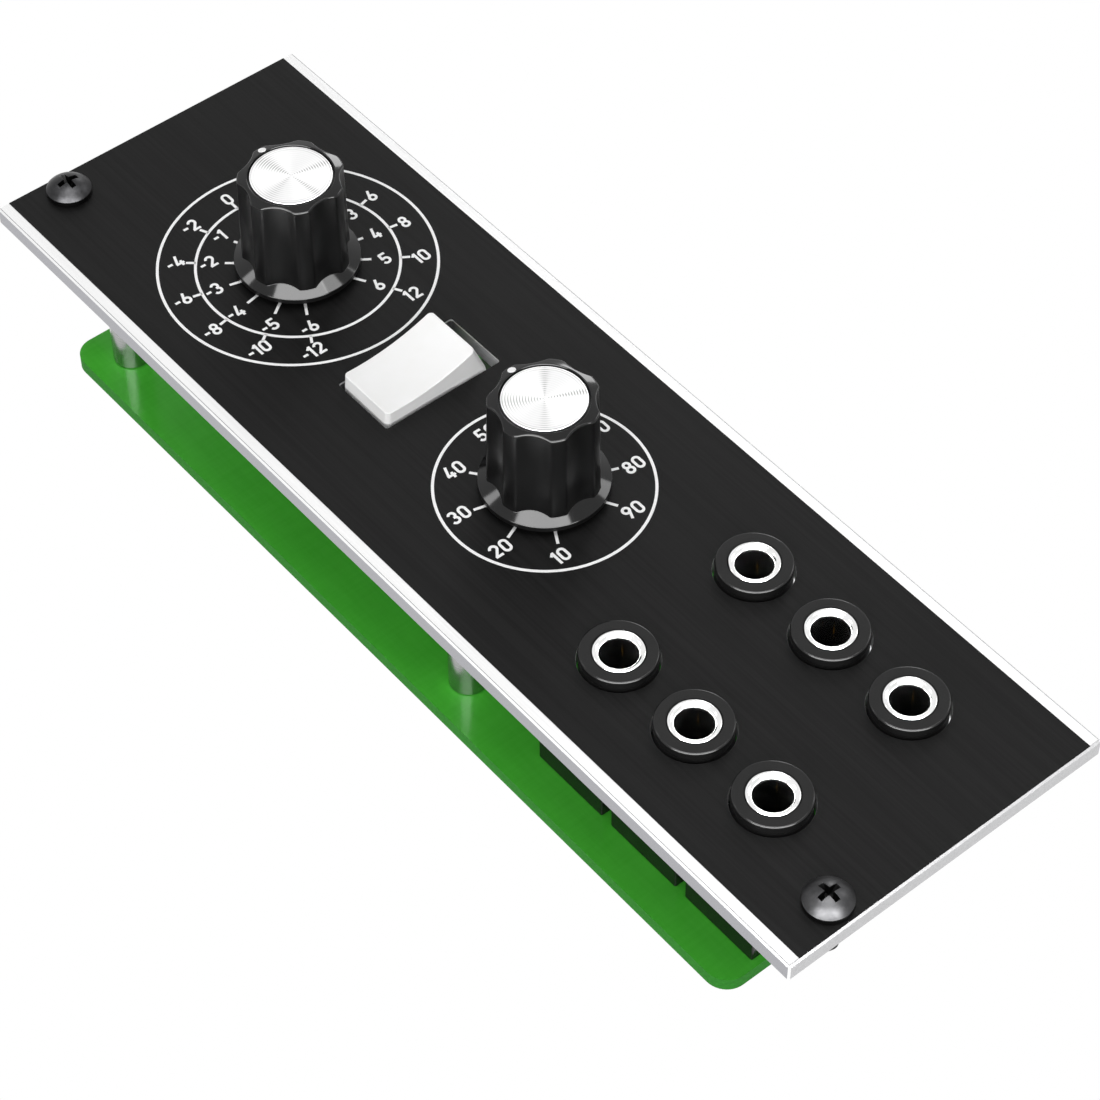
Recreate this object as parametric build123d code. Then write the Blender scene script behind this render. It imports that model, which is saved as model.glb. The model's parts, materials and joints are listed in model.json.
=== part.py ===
from build123d import *
from math import cos, radians, sqrt, tan
import os

# Eurorack control module: a front panel with a board behind it, two knobs on
# potentiometers, a rocker switch and six mini jacks. Millimetres.
# Pieces are drawn in panel coordinates: x to the right, y up the panel, z out of
# its front face, and are then set upright with the front face towards -Y.

# Front panel
panel_width = 40.3
panel_height = 128.5
panel_thickness = 2.0
panel_chamfer = 0.2
coat_width = 37.5
coat_thickness = 0.05
coat_edge = 0.06
ink_thickness = 0.03
cut_overrun = 1.0

# Rack screws in the left-hand holes
rack_screw_inset = 7.5
rack_screw_edge = 3.0
rack_screw_hole_radius = 1.6
rack_screw_radius = 1.5
rack_screw_length = 6.0
rack_screw_neck_radius = 1.2
rack_screw_neck_spare = 0.1
rack_screw_head_radius = 2.5
rack_screw_rim_height = 0.7
rack_screw_head_height = 1.9
cross_recess_length = 2.7
cross_recess_width = 0.6
cross_recess_depth = 1.2

# Printed scales round the knobs, their heights as shares of the panel's half height
upper_dial_share = 0.5642
lower_dial_share = -0.08405

# The rings' radii as shares of the distance from the knob to the rocker switch
outer_ring_share = 0.7174
inner_ring_share = 0.5232
lower_ring_share = 0.5553
print_line_width = 0.28
ring_tick_length = 1.05
knob_tick_end_radius = 7.9
knob_tick_length = 1.7
turn_limit = 150.0
upper_marks = 13
lower_marks = 9

# Board, its standoffs and their screws
board_gap = 13.5
board_width = 38.0
board_top_inset = 9.55
board_bottom_inset = 9.15
board_thickness = 1.6
board_corner_radius = 2.5
standoff_side_inset = 4.8
standoff_top_inset = 5.1
low_standoff_share = -0.1603
standoff_radius = 2.1
spigot_radius = 1.2
spigot_length = 1.2
seat_clearance = 0.02
board_screw_radius = 1.25
board_screw_length = 6.0
board_screw_head_radius = 2.25
board_screw_head_height = 1.5
thread_clearance = 0.05
board_hole_clearance = 0.1
tail_length = 1.2
pin_hole_clearance = 0.05

# Potentiometers
pot_case_width = 11.0
pot_case_height = 12.0
pot_case_depth = 9.0
pot_wall = 0.8
pot_element_thickness = 0.8
pot_element_clearance = 0.1
pot_flange_radius = 5.0
pot_flange_thickness = 0.7
pot_bushing_radius = 3.45
pot_bushing_recess = 0.4
panel_bushing_clearance = 0.15
shaft_radius = 3.0
shaft_clearance = 0.05
shaft_rise = 10.6
shaft_flat_distance = 1.5
shaft_flat_start = 2.6
shaft_foot_gap = 0.7
wiper_radius = 4.2
wiper_thickness = 0.8
wiper_finger_width = 1.0
wiper_finger_gap = 0.1
pot_pin_pitch = 2.5
pot_pin_drop = 4.0
pot_pin_width = 0.8
pot_pin_thickness = 0.4

# Knobs
knob_gap = 0.7
knob_height = 12.35
skirt_overhang = 0.9
skirt_edge_height = 0.68
skirt_edge_round = 0.12
skirt_bevel_angle = 26.6
knob_foot_radius = 5.95
knob_draft_angle = 0.95
flute_count = 7
flute_radius = 4.2
flute_depth = 0.65
rim_width = 1.15
rim_slope_angle = 14.6
cap_groove = 0.2
cap_thickness = 0.5
cap_clearance = 0.05
cap_drop = 0.05
knob_recess_wall = 0.45
knob_recess_depth = 0.8
knob_bore_clearance = 0.02
knob_bore_spare = 0.3
pointer_radius = 0.34
pointer_inset = 0.4
pointer_depth = 0.7

# Rocker switch
switch_share = 0.2355
cutout_length = 15.1
cutout_width = 8.2
cutout_corner_radius = 0.3
rocker_width = 7.55
rocker_pivot_depth = 5.55
rocker_tilt = 8.84
rocker_crest = 5.92
rocker_crest_height = 8.13
rocker_sag = 0.7
rocker_end_lean = 13.5
rocker_end_drop = 3.9
rocker_end_foot = 1.8
rocker_keel_width = 4.4
rocker_keel_depth = 1.4
rocker_corner_radius = 0.45
rocker_wall = 1.1
trunnion_radius = 0.8
trunnion_length = 1.0
trunnion_clearance = 0.05
switch_frame_wall = 1.25
switch_end_wall = 0.55
switch_end_room = 0.75
switch_side_room = 0.18
switch_frame_top_gap = 0.6
switch_ear_width = 7.0
switch_rim_drop = 5.0
switch_floor = 1.2
plunger_radius = 1.0
plunger_gap = 0.17
plunger_length = 7.2
plunger_bore_clearance = 0.12
plunger_spring_length = 2.2
plunger_spring_wall = 0.3
lever_reach = 4.6
lever_width = 2.6
lever_thickness = 0.4
lever_tilt = 8.0
lever_gap = 0.05
fulcrum_height = 1.3
switch_pin_pitch = 4.2
switch_pin_width = 0.8

# Jacks
jack_column_offset = 8.84
jack_top_share = -0.4252
jack_pitch = 11.09
jack_rows = 3
jack_body_width = 12.2
jack_body_height = 9.8
jack_body_depth = 8.0
jack_collar_radius = 4.0
jack_collar_rise = 1.25
jack_collar_bevel = 0.15
jack_panel_clearance = 0.2
jack_bushing_radius = 2.65
jack_bushing_clearance = 0.1
jack_bushing_rise = 0.05
jack_bore_radius = 1.85
jack_mouth_radius = 2.45
jack_mouth_depth = 0.55
jack_seat_depth = 0.5
jack_well_radius = 2.4
jack_well_foot = 2.0
jack_strip_thickness = 0.3
jack_strip_width = 0.8
jack_strip_offset = 4.6
jack_strip_clearance = 0.2
jack_tip_gap = 0.3
jack_tip_drop = 2.5

# Power header on the back of the board
header_share = 0.392
header_columns = 5
header_rows = 2
header_pitch = 2.54
header_length = 20.3
header_width = 8.8
header_depth = 9.1
header_wall = 1.2
header_floor = 2.5
header_key_width = 4.5
header_pin_width = 0.64
header_pin_clearance = 0.03
header_pin_reach = 7.6

# Parts soldered to the back of the board
chip_length = 8.65
chip_width = 3.9
chip_thickness = 1.5
chip_lead_count = 7
chip_lead_pitch = 1.27
chip_lead_width = 0.42
chip_lead_reach = 1.05
chip_lead_thickness = 0.22
chip_lead_rise = 0.7
can_radius = 2.5
can_height = 4.4
can_header_gap = 0.5
can_base_width = 5.3
can_base_thickness = 0.9
can_round = 0.3
chip_resistor_length = 1.6
chip_resistor_width = 0.8
chip_resistor_thickness = 0.45
resistor_pitch = 2.2
resistor_rows = 4

# Heights on the panel and the board
half_panel = panel_height / 2
dial_heights = {"upper": upper_dial_share * half_panel, "lower": lower_dial_share * half_panel}
switch_height = switch_share * half_panel
outer_ring_radius = outer_ring_share * (dial_heights["upper"] - switch_height)
inner_ring_radius = inner_ring_share * (dial_heights["upper"] - switch_height)
lower_ring_radius = lower_ring_share * (switch_height - dial_heights["lower"])
jack_top_height = jack_top_share * half_panel
header_height = header_share * half_panel
board_height = panel_height - board_top_inset - board_bottom_inset
board_centre_height = (board_bottom_inset - board_top_inset) / 2

# Levels along z, worked out from the sizes above
panel_rear = -panel_thickness
board_face = panel_rear - board_gap
board_back = board_face - board_thickness
tail_end = board_back - tail_length
print_level = coat_thickness + ink_thickness
pot_top = board_face + pot_case_depth
jack_top = board_face + jack_body_depth
jack_seat = jack_top - jack_seat_depth
rocker_pivot = -rocker_pivot_depth
lever_pivot = board_face + switch_floor + fulcrum_height + lever_gap
shaft_foot = board_face + pot_element_thickness + shaft_foot_gap
knob_top = knob_gap + knob_height
skirt_edge = knob_gap + skirt_edge_height

# Radii of the knob, its cap and its pointer
skirt_radius = knob_foot_radius + skirt_overhang
knob_top_radius = knob_foot_radius - knob_height * tan(radians(knob_draft_angle))
rim_inner_radius = knob_top_radius - rim_width
cap_radius = rim_inner_radius - cap_groove
pointer_distance = rim_inner_radius + pointer_inset

# How far the rocker's ends and its plunger reach from the pivot
rocker_reach = rocker_crest + rocker_end_drop * tan(radians(rocker_end_lean))
lever_face = lever_pivot + lever_thickness + plunger_gap
plunger_centre = (rocker_pivot - lever_face - plunger_radius) / cos(radians(rocker_tilt))
plunger_head = plunger_length - plunger_radius - plunger_centre

# Places on the panel
rack_screw_side = rack_screw_inset - panel_width / 2
rack_screw_level = half_panel - rack_screw_edge
rack_screw_places = [(rack_screw_side, rack_screw_level), (rack_screw_side, -rack_screw_level)]
standoff_offset = board_width / 2 - standoff_side_inset
standoff_levels = [half_panel - board_top_inset - standoff_top_inset, low_standoff_share * half_panel]
standoff_places = [(side * standoff_offset, level) for level in standoff_levels for side in (-1, 1)]
jack_places = [
    (side * jack_column_offset, jack_top_height - row * jack_pitch)
    for row in range(jack_rows)
    for side in (-1, 1)
]
pot_pin_places = [
    (column * pot_pin_pitch, level - pot_pin_drop)
    for level in dial_heights.values()
    for column in (-1, 0, 1)
]
switch_pin_places = [(column * switch_pin_pitch, switch_height) for column in (-1, 0, 1)]
jack_leg_centre = jack_strip_offset + jack_strip_thickness / 2
jack_leg_places = [(x + side * jack_leg_centre, y) for x, y in jack_places for side in (-1, 1)]
header_pin_places = [
    (
        (column - (header_columns - 1) / 2) * header_pitch,
        header_height + (row - (header_rows - 1) / 2) * header_pitch,
    )
    for row in range(header_rows)
    for column in range(header_columns)
]

# Places on the back of the board, as shares of its half width and half height
chip_place_shares = [(-0.55, 0.11), (0.55, 0.11), (-0.52, 0.68), (0.52, 0.68), (0.0, 0.07)]
can_place_shares = [(-0.24, 0.90), (0.24, 0.90)]
resistor_place_shares = [(-0.25, -0.30), (0.25, -0.30), (-0.62, -0.08), (0.62, -0.08), (0.0, -0.93)]

# Moves a piece from panel coordinates to its upright place
upright = Plane(origin=(0, panel_rear, 0), x_dir=(1, 0, 0), z_dir=(0, -1, 0)).location


def write(node, *pieces):
    """Writes the upright pieces of one node to its STEP file."""
    solids = [solid for piece in pieces for solid in (upright * piece).solids()]
    export_step(solids[0] if len(solids) == 1 else Compound(solids), f"parts/{node}.step")


def block(width, height, low, high, x=0, y=0):
    """A box centred on (x, y), from z=low to z=high."""
    return Pos(x, y, (low + high) / 2) * Box(width, height, high - low)


def disc(radius, low, high, x=0, y=0):
    """An upright cylinder centred on (x, y), from z=low to z=high."""
    return Pos(x, y, (low + high) / 2) * Cylinder(radius, high - low)


def turned(*outline):
    """A solid turned about z from an outline of (radius, z) points."""
    return revolve(make_face(Polyline(*[(r, 0, z) for r, z in outline], close=True)), Axis.Z)


def board_place(shares):
    """A place on the back of the board from shares of its half width and half height."""
    return shares[0] * board_width / 2, board_centre_height + shares[1] * board_height / 2


# Openings that the panel and its coat share, wider by a margin all round
def face_openings(low, high, margin=0):
    cuts = [disc(rack_screw_hole_radius + margin, low, high, x, y) for x, y in rack_screw_places]
    bushing_hole = pot_bushing_radius + panel_bushing_clearance + margin
    cuts += [disc(bushing_hole, low, high, 0, y) for y in dial_heights.values()]
    collar_hole = jack_collar_radius + jack_panel_clearance + margin
    cuts += [disc(collar_hole, low, high, x, y) for x, y in jack_places]
    length, width = cutout_length + 2 * margin, cutout_width + 2 * margin
    window = RectangleRounded(length, width, cutout_corner_radius + margin)
    cuts.append(extrude(Pos(0, switch_height, low) * window, high - low))
    return cuts


def front_panel():
    plate = block(panel_width, panel_height, panel_rear, 0)
    plate = chamfer(plate.faces().sort_by(Axis.Z)[-1].edges(), panel_chamfer)
    plate -= face_openings(panel_rear - cut_overrun, cut_overrun)
    socket_radius = spigot_radius + seat_clearance
    socket_end = panel_rear + spigot_length + seat_clearance
    return plate - [disc(socket_radius, panel_rear, socket_end, x, y) for x, y in standoff_places]


def face_coat():
    coat = block(coat_width, panel_height - 2 * panel_chamfer, 0, coat_thickness)
    return coat - face_openings(-cut_overrun, coat_thickness + cut_overrun, coat_edge)


def ring(radius, y):
    outer = disc(radius + print_line_width / 2, coat_thickness, print_level, 0, y)
    return outer - disc(radius - print_line_width / 2, 0, print_level + cut_overrun, 0, y)


def ticks(y, count, start, end):
    """Marks spread evenly over the knob's turn, each from radius start to radius end."""
    step = 2 * turn_limit / (count - 1)
    mark = block(print_line_width, end - start, coat_thickness, print_level, 0, (start + end) / 2)
    return [Pos(0, y, 0) * Rot(0, 0, turn_limit - step * i) * mark for i in range(count)]


def scale_print():
    tick_start = knob_tick_end_radius - knob_tick_length
    upper, lower = dial_heights["upper"], dial_heights["lower"]
    inner_ring = ring(inner_ring_radius, upper)
    inner_ring += ticks(upper, upper_marks, inner_ring_radius, inner_ring_radius + ring_tick_length)
    return [
        ring(outer_ring_radius, upper),
        inner_ring,
        ring(lower_ring_radius, lower),
        *ticks(upper, upper_marks, tick_start, knob_tick_end_radius),
        *ticks(lower, lower_marks, tick_start, knob_tick_end_radius),
    ]


# Cross-recess pan head on a plain shank, its seat at z=0 and its head upwards
def pan_screw(shank_radius, length, head_radius, rim_height, head_height):
    crown = head_height - rim_height
    crown_radius = (head_radius**2 + crown**2) / (2 * crown)
    head = disc(head_radius, 0, head_height)
    head &= Pos(0, 0, head_height - crown_radius) * Sphere(crown_radius)
    for turn in (0, 90):
        slot = Box(cross_recess_length, cross_recess_width, 2 * cross_recess_depth)
        head -= Pos(0, 0, head_height) * Rot(0, 0, turn) * slot
    return head + disc(shank_radius, -length, 0)


def panel_screws():
    """Their shanks are slimmer through the panel than behind it."""
    screw = pan_screw(
        rack_screw_radius,
        rack_screw_length,
        rack_screw_head_radius,
        rack_screw_rim_height,
        rack_screw_head_height,
    )
    neck_length = coat_thickness + panel_thickness + rack_screw_neck_spare
    groove = disc(rack_screw_hole_radius, -neck_length, 0)
    screw -= groove - disc(rack_screw_neck_radius, -neck_length - cut_overrun, cut_overrun)
    return [Pos(x, y, coat_thickness) * screw for x, y in rack_screw_places]


# Board and what holds it
def pin_hole_radius(width, thickness):
    """The hole that a flat pin of this section passes through."""
    return sqrt(width**2 + thickness**2) / 2 + pin_hole_clearance


def main_board():
    sheet = RectangleRounded(board_width, board_height, board_corner_radius)
    board = extrude(Pos(0, board_centre_height, board_back) * sheet, board_thickness)
    low, high = board_back - cut_overrun, board_face + cut_overrun
    holes = [
        (board_screw_radius + board_hole_clearance, standoff_places),
        (pin_hole_radius(pot_pin_width, pot_pin_thickness), pot_pin_places),
        (pin_hole_radius(switch_pin_width, switch_pin_width), switch_pin_places),
        (pin_hole_radius(jack_strip_width, jack_strip_thickness), jack_leg_places),
        (pin_hole_radius(header_pin_width, header_pin_width), header_pin_places),
    ]
    return board - [disc(radius, low, high, x, y) for radius, places in holes for x, y in places]


def board_standoffs():
    post = disc(standoff_radius, board_face, panel_rear)
    post += disc(spigot_radius, panel_rear, panel_rear + spigot_length)
    thread = board_screw_radius + thread_clearance
    post -= disc(thread, board_face - cut_overrun, board_back + board_screw_length + board_hole_clearance)
    return [Pos(x, y, 0) * post for x, y in standoff_places]


def board_screws():
    rim_height = board_screw_head_height / 2
    screw = pan_screw(
        board_screw_radius, board_screw_length, board_screw_head_radius, rim_height, board_screw_head_height
    )
    return [Pos(x, y, board_back) * Rot(180, 0, 0) * screw for x, y in standoff_places]


# Potentiometers
def pot_case(y):
    case = block(pot_case_width, pot_case_height, board_face, pot_top, 0, y)
    room_width = pot_case_width - 2 * pot_wall
    room_height = pot_case_height - 2 * pot_wall
    case -= block(room_width, room_height, board_face - cut_overrun, pot_top - pot_wall, 0, y)
    return case - disc(shaft_radius + 2 * shaft_clearance, board_face, pot_top + cut_overrun, 0, y)


def pot_element(y):
    """The plate under the wiper that carries the resistive track."""
    width = pot_case_width - 2 * (pot_wall + pot_element_clearance)
    height = pot_case_height - 2 * (pot_wall + pot_element_clearance)
    return block(width, height, board_face, board_face + pot_element_thickness, 0, y)


def pot_terminals(y):
    pin = block(pot_pin_width, pot_pin_thickness, tail_end, board_face)
    return [Pos(column * pot_pin_pitch, y - pot_pin_drop, 0) * pin for column in (-1, 0, 1)]


def pot_bushing(y):
    sleeve = disc(pot_flange_radius, pot_top, pot_top + pot_flange_thickness, 0, y)
    sleeve += disc(pot_bushing_radius, pot_top, -pot_bushing_recess, 0, y)
    return sleeve - disc(shaft_radius + shaft_clearance, board_face, cut_overrun, 0, y)


def d_rod(radius, flat, low, high, y):
    """A rod with one flat, at a distance from its axis, on its lower side."""
    rod = disc(radius, low, high, 0, y)
    spare = block(4 * radius, 2 * radius, low - cut_overrun, high + cut_overrun, 0, y - flat - radius)
    return rod - spare


def pot_shaft(y):
    shaft = disc(shaft_radius, shaft_foot, shaft_flat_start, 0, y)
    return shaft + d_rod(shaft_radius, shaft_flat_distance, shaft_flat_start, shaft_rise, y)


def pot_wiper(y):
    """A ring on the shaft's foot with one contact finger."""
    wiper_top = shaft_foot + wiper_thickness
    hub = disc(wiper_radius, shaft_foot, wiper_top, 0, y)
    finger_low = board_face + pot_element_thickness + wiper_finger_gap
    finger = disc(wiper_radius, finger_low, wiper_top, 0, y)
    finger &= block(wiper_finger_width, wiper_radius, board_face, pot_top, 0, y + wiper_radius / 2)
    return hub + finger - disc(shaft_radius + seat_clearance, board_face, pot_top, 0, y)


# Knobs
def knob_flute(turn):
    """One hollow down the knob's side, leaning with the draft of the wall."""
    foot_distance = knob_foot_radius - flute_depth + flute_radius
    hollow = Rot(0, -knob_draft_angle, 0) * Cylinder(flute_radius, 4 * knob_height)
    return Rot(0, 0, turn) * Pos(foot_distance, 0, knob_gap) * hollow


def knob_body(y):
    rim_drop = rim_width * tan(radians(rim_slope_angle))
    grip = turned(
        (0, knob_gap),
        (knob_foot_radius, knob_gap),
        (knob_top_radius, knob_top - rim_drop),
        (rim_inner_radius, knob_top),
        (0, knob_top),
    )
    step = 360 / flute_count
    grip -= [knob_flute(90 + (i + 0.5) * step) for i in range(flute_count)]
    bevel_start = skirt_radius - skirt_edge_round
    bevel_top = skirt_edge + (bevel_start - cap_radius) * tan(radians(skirt_bevel_angle))
    skirt = turned(
        (0, knob_gap),
        (skirt_radius, knob_gap),
        (skirt_radius, skirt_edge - skirt_edge_round),
        (bevel_start, skirt_edge),
        (cap_radius, bevel_top),
        (0, bevel_top),
    )
    body = grip + skirt
    recess_radius = knob_foot_radius - knob_recess_wall
    body -= disc(recess_radius, knob_gap - cut_overrun, knob_gap + knob_recess_depth)
    bore_radius = shaft_radius + knob_bore_clearance
    bore_flat = shaft_flat_distance + knob_bore_clearance
    bore_top = shaft_rise + knob_bore_spare
    body -= disc(bore_radius, 0, shaft_flat_start)
    body -= d_rod(bore_radius, bore_flat, 0, bore_top, 0)
    body -= disc(cap_radius + cap_clearance, knob_top - cap_drop - cap_thickness, knob_top + cut_overrun)
    pocket_low = knob_top - pointer_depth
    body -= disc(pointer_radius + seat_clearance, pocket_low, knob_top + cut_overrun, 0, pointer_distance)
    return Pos(0, y, 0) * body


def knob_cap(y):
    """Spun metal disc let into the top of the knob."""
    high = knob_top - cap_drop
    cap = disc(cap_radius, high - cap_thickness, high, 0, y)
    return chamfer(cap.edges().sort_by(Axis.Z)[-1], cap_drop)


def knob_pointer(y):
    top_slope = (pointer_distance - rim_inner_radius) * tan(radians(rim_slope_angle))
    high = knob_top - top_slope + ink_thickness
    return disc(pointer_radius, knob_top - pointer_depth, high, 0, y + pointer_distance)


# Rocker switch, drawn about its pivot with u along x and v along z
def in_switch(angle, level, piece):
    """Turns a switch piece about y and sets it at its pivot's level."""
    return Pos(0, switch_height, level) * Rot(0, angle, 0) * piece


def rocker_outline():
    shoulder = rocker_crest_height - rocker_end_drop
    foot = shoulder - rocker_end_foot
    keel = rocker_keel_width / 2
    dish = ThreePointArc(
        (-rocker_crest, 0, rocker_crest_height),
        (0, 0, rocker_crest_height - rocker_sag),
        (rocker_crest, 0, rocker_crest_height),
    )
    sides = Polyline(
        (rocker_crest, 0, rocker_crest_height),
        (rocker_reach, 0, shoulder),
        (rocker_reach, 0, foot),
        (keel, 0, -rocker_keel_depth),
        (-keel, 0, -rocker_keel_depth),
        (-rocker_reach, 0, foot),
        (-rocker_reach, 0, shoulder),
        (-rocker_crest, 0, rocker_crest_height),
    )
    return make_face(dish + sides)


def rocker():
    body = extrude(rocker_outline(), rocker_width / 2, both=True)
    corners = body.edges().filter_by(lambda edge: abs(edge.center().X) > rocker_crest)
    corners = corners.filter_by(lambda edge: abs(edge.center().Y) > rocker_width / 4)
    body = fillet(corners, rocker_corner_radius)
    pocket_outer = rocker_crest - rocker_wall / 2
    pocket_inner = rocker_keel_width / 2
    pocket_top = rocker_crest_height - rocker_sag - 2 * rocker_wall
    pocket = block(
        pocket_outer - pocket_inner,
        rocker_width - 2 * rocker_wall,
        -rocker_keel_depth,
        pocket_top,
        (pocket_outer + pocket_inner) / 2,
    )
    body -= [pocket, mirror(pocket, Plane.YZ)]
    bore_top = plunger_head + plunger_spring_length + plunger_bore_clearance
    body -= disc(plunger_radius + plunger_bore_clearance, -rocker_crest_height, bore_top)
    for side in (-1, 1):
        middle = side * (rocker_width + trunnion_length) / 2
        body += Pos(0, middle, 0) * Rot(90, 0, 0) * Cylinder(trunnion_radius, trunnion_length)
    return in_switch(-rocker_tilt, rocker_pivot, body)


def rocker_plunger():
    pin = disc(plunger_radius, -plunger_centre, plunger_head)
    pin += Pos(0, 0, -plunger_centre) * Sphere(plunger_radius)
    return in_switch(-rocker_tilt, rocker_pivot, pin)


def rocker_spring():
    """The sleeve that the plunger's coil spring fills."""
    high = plunger_head + plunger_spring_length
    sleeve = disc(plunger_radius, plunger_head, high)
    sleeve -= disc(plunger_radius - plunger_spring_wall, plunger_head - cut_overrun, high + cut_overrun)
    return in_switch(-rocker_tilt, rocker_pivot, sleeve)


def switch_frame():
    inner_length = 2 * (rocker_reach + switch_end_room)
    inner_width = rocker_width + 2 * switch_side_room
    outer_length = inner_length + 2 * switch_end_wall
    outer_width = inner_width + 2 * switch_frame_wall
    rim = panel_rear - switch_rim_drop
    ear_top = panel_rear - switch_frame_top_gap
    frame = block(outer_length, outer_width, board_face, rim, 0, switch_height)
    frame += block(switch_ear_width, outer_width, board_face, ear_top, 0, switch_height)
    frame -= block(inner_length, inner_width, board_face + switch_floor, 0, 0, switch_height)
    hole = Cylinder(trunnion_radius + trunnion_clearance, outer_width + cut_overrun)
    frame -= Pos(0, switch_height, rocker_pivot) * Rot(90, 0, 0) * hole
    pin_slot = switch_pin_width + 2 * seat_clearance
    low, high = board_face - cut_overrun, board_face + switch_floor + cut_overrun
    return frame - [block(pin_slot, pin_slot, low, high, x, y) for x, y in switch_pin_places]


def switch_terminals():
    """A centre post that the lever rocks on, and a contact under each end of it."""
    floor = board_face + switch_floor
    post_top = floor + fulcrum_height
    pieces = []
    for x, y in switch_pin_places:
        pin = block(switch_pin_width, switch_pin_width, tail_end, floor, x, y)
        top = post_top - lever_gap if x else post_top
        pieces.append(pin + block(switch_pin_width, lever_width, floor, top, x, y))
    return pieces


def contact_lever():
    """A shallow V of sheet metal that tips from one contact to the other."""
    rise = lever_reach * tan(radians(lever_tilt))
    outline = Polyline(
        (0, 0, 0),
        (lever_reach, 0, rise),
        (lever_reach, 0, rise + lever_thickness),
        (0, 0, lever_thickness),
        (-lever_reach, 0, rise + lever_thickness),
        (-lever_reach, 0, rise),
        close=True,
    )
    strip = extrude(make_face(outline), lever_width / 2, both=True)
    return in_switch(lever_tilt, lever_pivot, strip)


# Jacks
def jack_body(x, y):
    body = block(jack_body_width, jack_body_height, board_face, jack_top)
    collar = disc(jack_collar_radius, jack_seat, jack_collar_rise)
    body += chamfer(collar.edges().sort_by(Axis.Z)[-1], jack_collar_bevel)
    body -= disc(jack_bushing_radius + jack_bushing_clearance, jack_seat, jack_collar_rise + cut_overrun)
    body -= disc(jack_well_radius, board_face + jack_well_foot, jack_seat + cut_overrun)
    strip_room = jack_strip_width + 2 * jack_strip_clearance
    pocket_end = jack_strip_offset + jack_strip_thickness + jack_strip_clearance
    for side in (-1, 1):
        body -= block(pocket_end, strip_room, board_face - cut_overrun, jack_seat, side * pocket_end / 2)
    return Pos(x, y, 0) * body


def jack_bushing(x, y):
    top = jack_collar_rise + jack_bushing_rise
    sleeve = turned(
        (jack_bore_radius, jack_seat),
        (jack_bushing_radius, jack_seat),
        (jack_bushing_radius, top - jack_bushing_rise),
        (jack_bushing_radius - jack_bushing_rise, top),
        (jack_mouth_radius, top),
        (jack_bore_radius, top - jack_mouth_depth),
    )
    return Pos(x, y, 0) * sleeve


def strip(*outline):
    """A bent contact strip from its outline in x and z."""
    face = make_face(Polyline(*[(x, 0, z) for x, z in outline], close=True))
    return extrude(face, jack_strip_width / 2, both=True)


def jack_contacts(x, y):
    """The tip spring on the right and the sleeve contact on the left."""
    inner, outer = jack_strip_offset, jack_strip_offset + jack_strip_thickness
    top = jack_seat - jack_strip_clearance
    tip = jack_bore_radius + jack_tip_gap
    tip_spring = strip(
        (inner, tail_end),
        (outer, tail_end),
        (outer, top),
        (inner, top),
        (tip, top - jack_tip_drop),
        (tip + jack_strip_thickness, top - jack_tip_drop - jack_strip_thickness),
        (inner, top - 2 * jack_strip_thickness),
    )
    sleeve_contact = strip(
        (-inner, tail_end),
        (-outer, tail_end),
        (-outer, top),
        (-tip, top),
        (-tip, top - jack_strip_thickness),
        (-inner, top - jack_strip_thickness),
    )
    return [Pos(x, y, 0) * tip_spring, Pos(x, y, 0) * sleeve_contact]


# Power header
def header_shroud():
    low = board_back - header_depth
    shroud = block(header_length, header_width, low, board_back, 0, header_height)
    room_length = header_length - 2 * header_wall
    room_width = header_width - 2 * header_wall
    floor = board_back - header_floor
    key_height = header_height - header_width / 2
    shroud -= block(room_length, room_width, low - cut_overrun, floor, 0, header_height)
    shroud -= block(header_key_width, header_width, low - cut_overrun, floor, 0, key_height)
    slot = header_pin_width + 2 * header_pin_clearance
    return shroud - [block(slot, slot, low, board_back + cut_overrun, x, y) for x, y in header_pin_places]


def header_pins():
    low = board_back - header_pin_reach
    high = board_face + tail_length
    return [block(header_pin_width, header_pin_width, low, high, x, y) for x, y in header_pin_places]


# Parts soldered to the back of the board
def can_places():
    """Two cans stand near the board's top edge, and one beside each end of the header."""
    beside = header_length / 2 + can_header_gap + can_base_width / 2
    near_top = [board_place(shares) for shares in can_place_shares]
    return [*near_top, (-beside, header_height), (beside, header_height)]


def chip():
    """A moulded chip with a row of leads down each long side, its foot at z=0."""
    body = block(chip_width, chip_length, -chip_thickness, -chip_lead_thickness)
    step_low = -chip_lead_rise - chip_lead_thickness
    foot_start = chip_width / 2 + chip_lead_reach / 2
    for side in (-1, 1):
        for i in range(chip_lead_count):
            y = (i - (chip_lead_count - 1) / 2) * chip_lead_pitch
            lead = Polyline(
                (chip_width / 2, 0, step_low),
                (foot_start, 0, step_low),
                (foot_start, 0, -chip_lead_thickness),
                (chip_width / 2 + chip_lead_reach, 0, -chip_lead_thickness),
                (chip_width / 2 + chip_lead_reach, 0, 0),
                (foot_start - chip_lead_thickness, 0, 0),
                (foot_start - chip_lead_thickness, 0, -chip_lead_rise),
                (chip_width / 2, 0, -chip_lead_rise),
                close=True,
            )
            lead = extrude(make_face(lead), chip_lead_width / 2, both=True)
            body += Rot(0, 0, 90 - 90 * side) * Pos(0, y, 0) * lead
    return body


def chips():
    piece = chip()
    return [Pos(*board_place(shares), board_back) * piece for shares in chip_place_shares]


def capacitor_bases():
    base = block(can_base_width, can_base_width, -can_base_thickness, 0)
    return [Pos(x, y, board_back) * base for x, y in can_places()]


def capacitor_cans():
    can = disc(can_radius, -can_base_thickness - can_height, -can_base_thickness)
    can = fillet(can.edges().sort_by(Axis.Z)[0], can_round)
    return [Pos(x, y, board_back) * can for x, y in can_places()]


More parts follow.
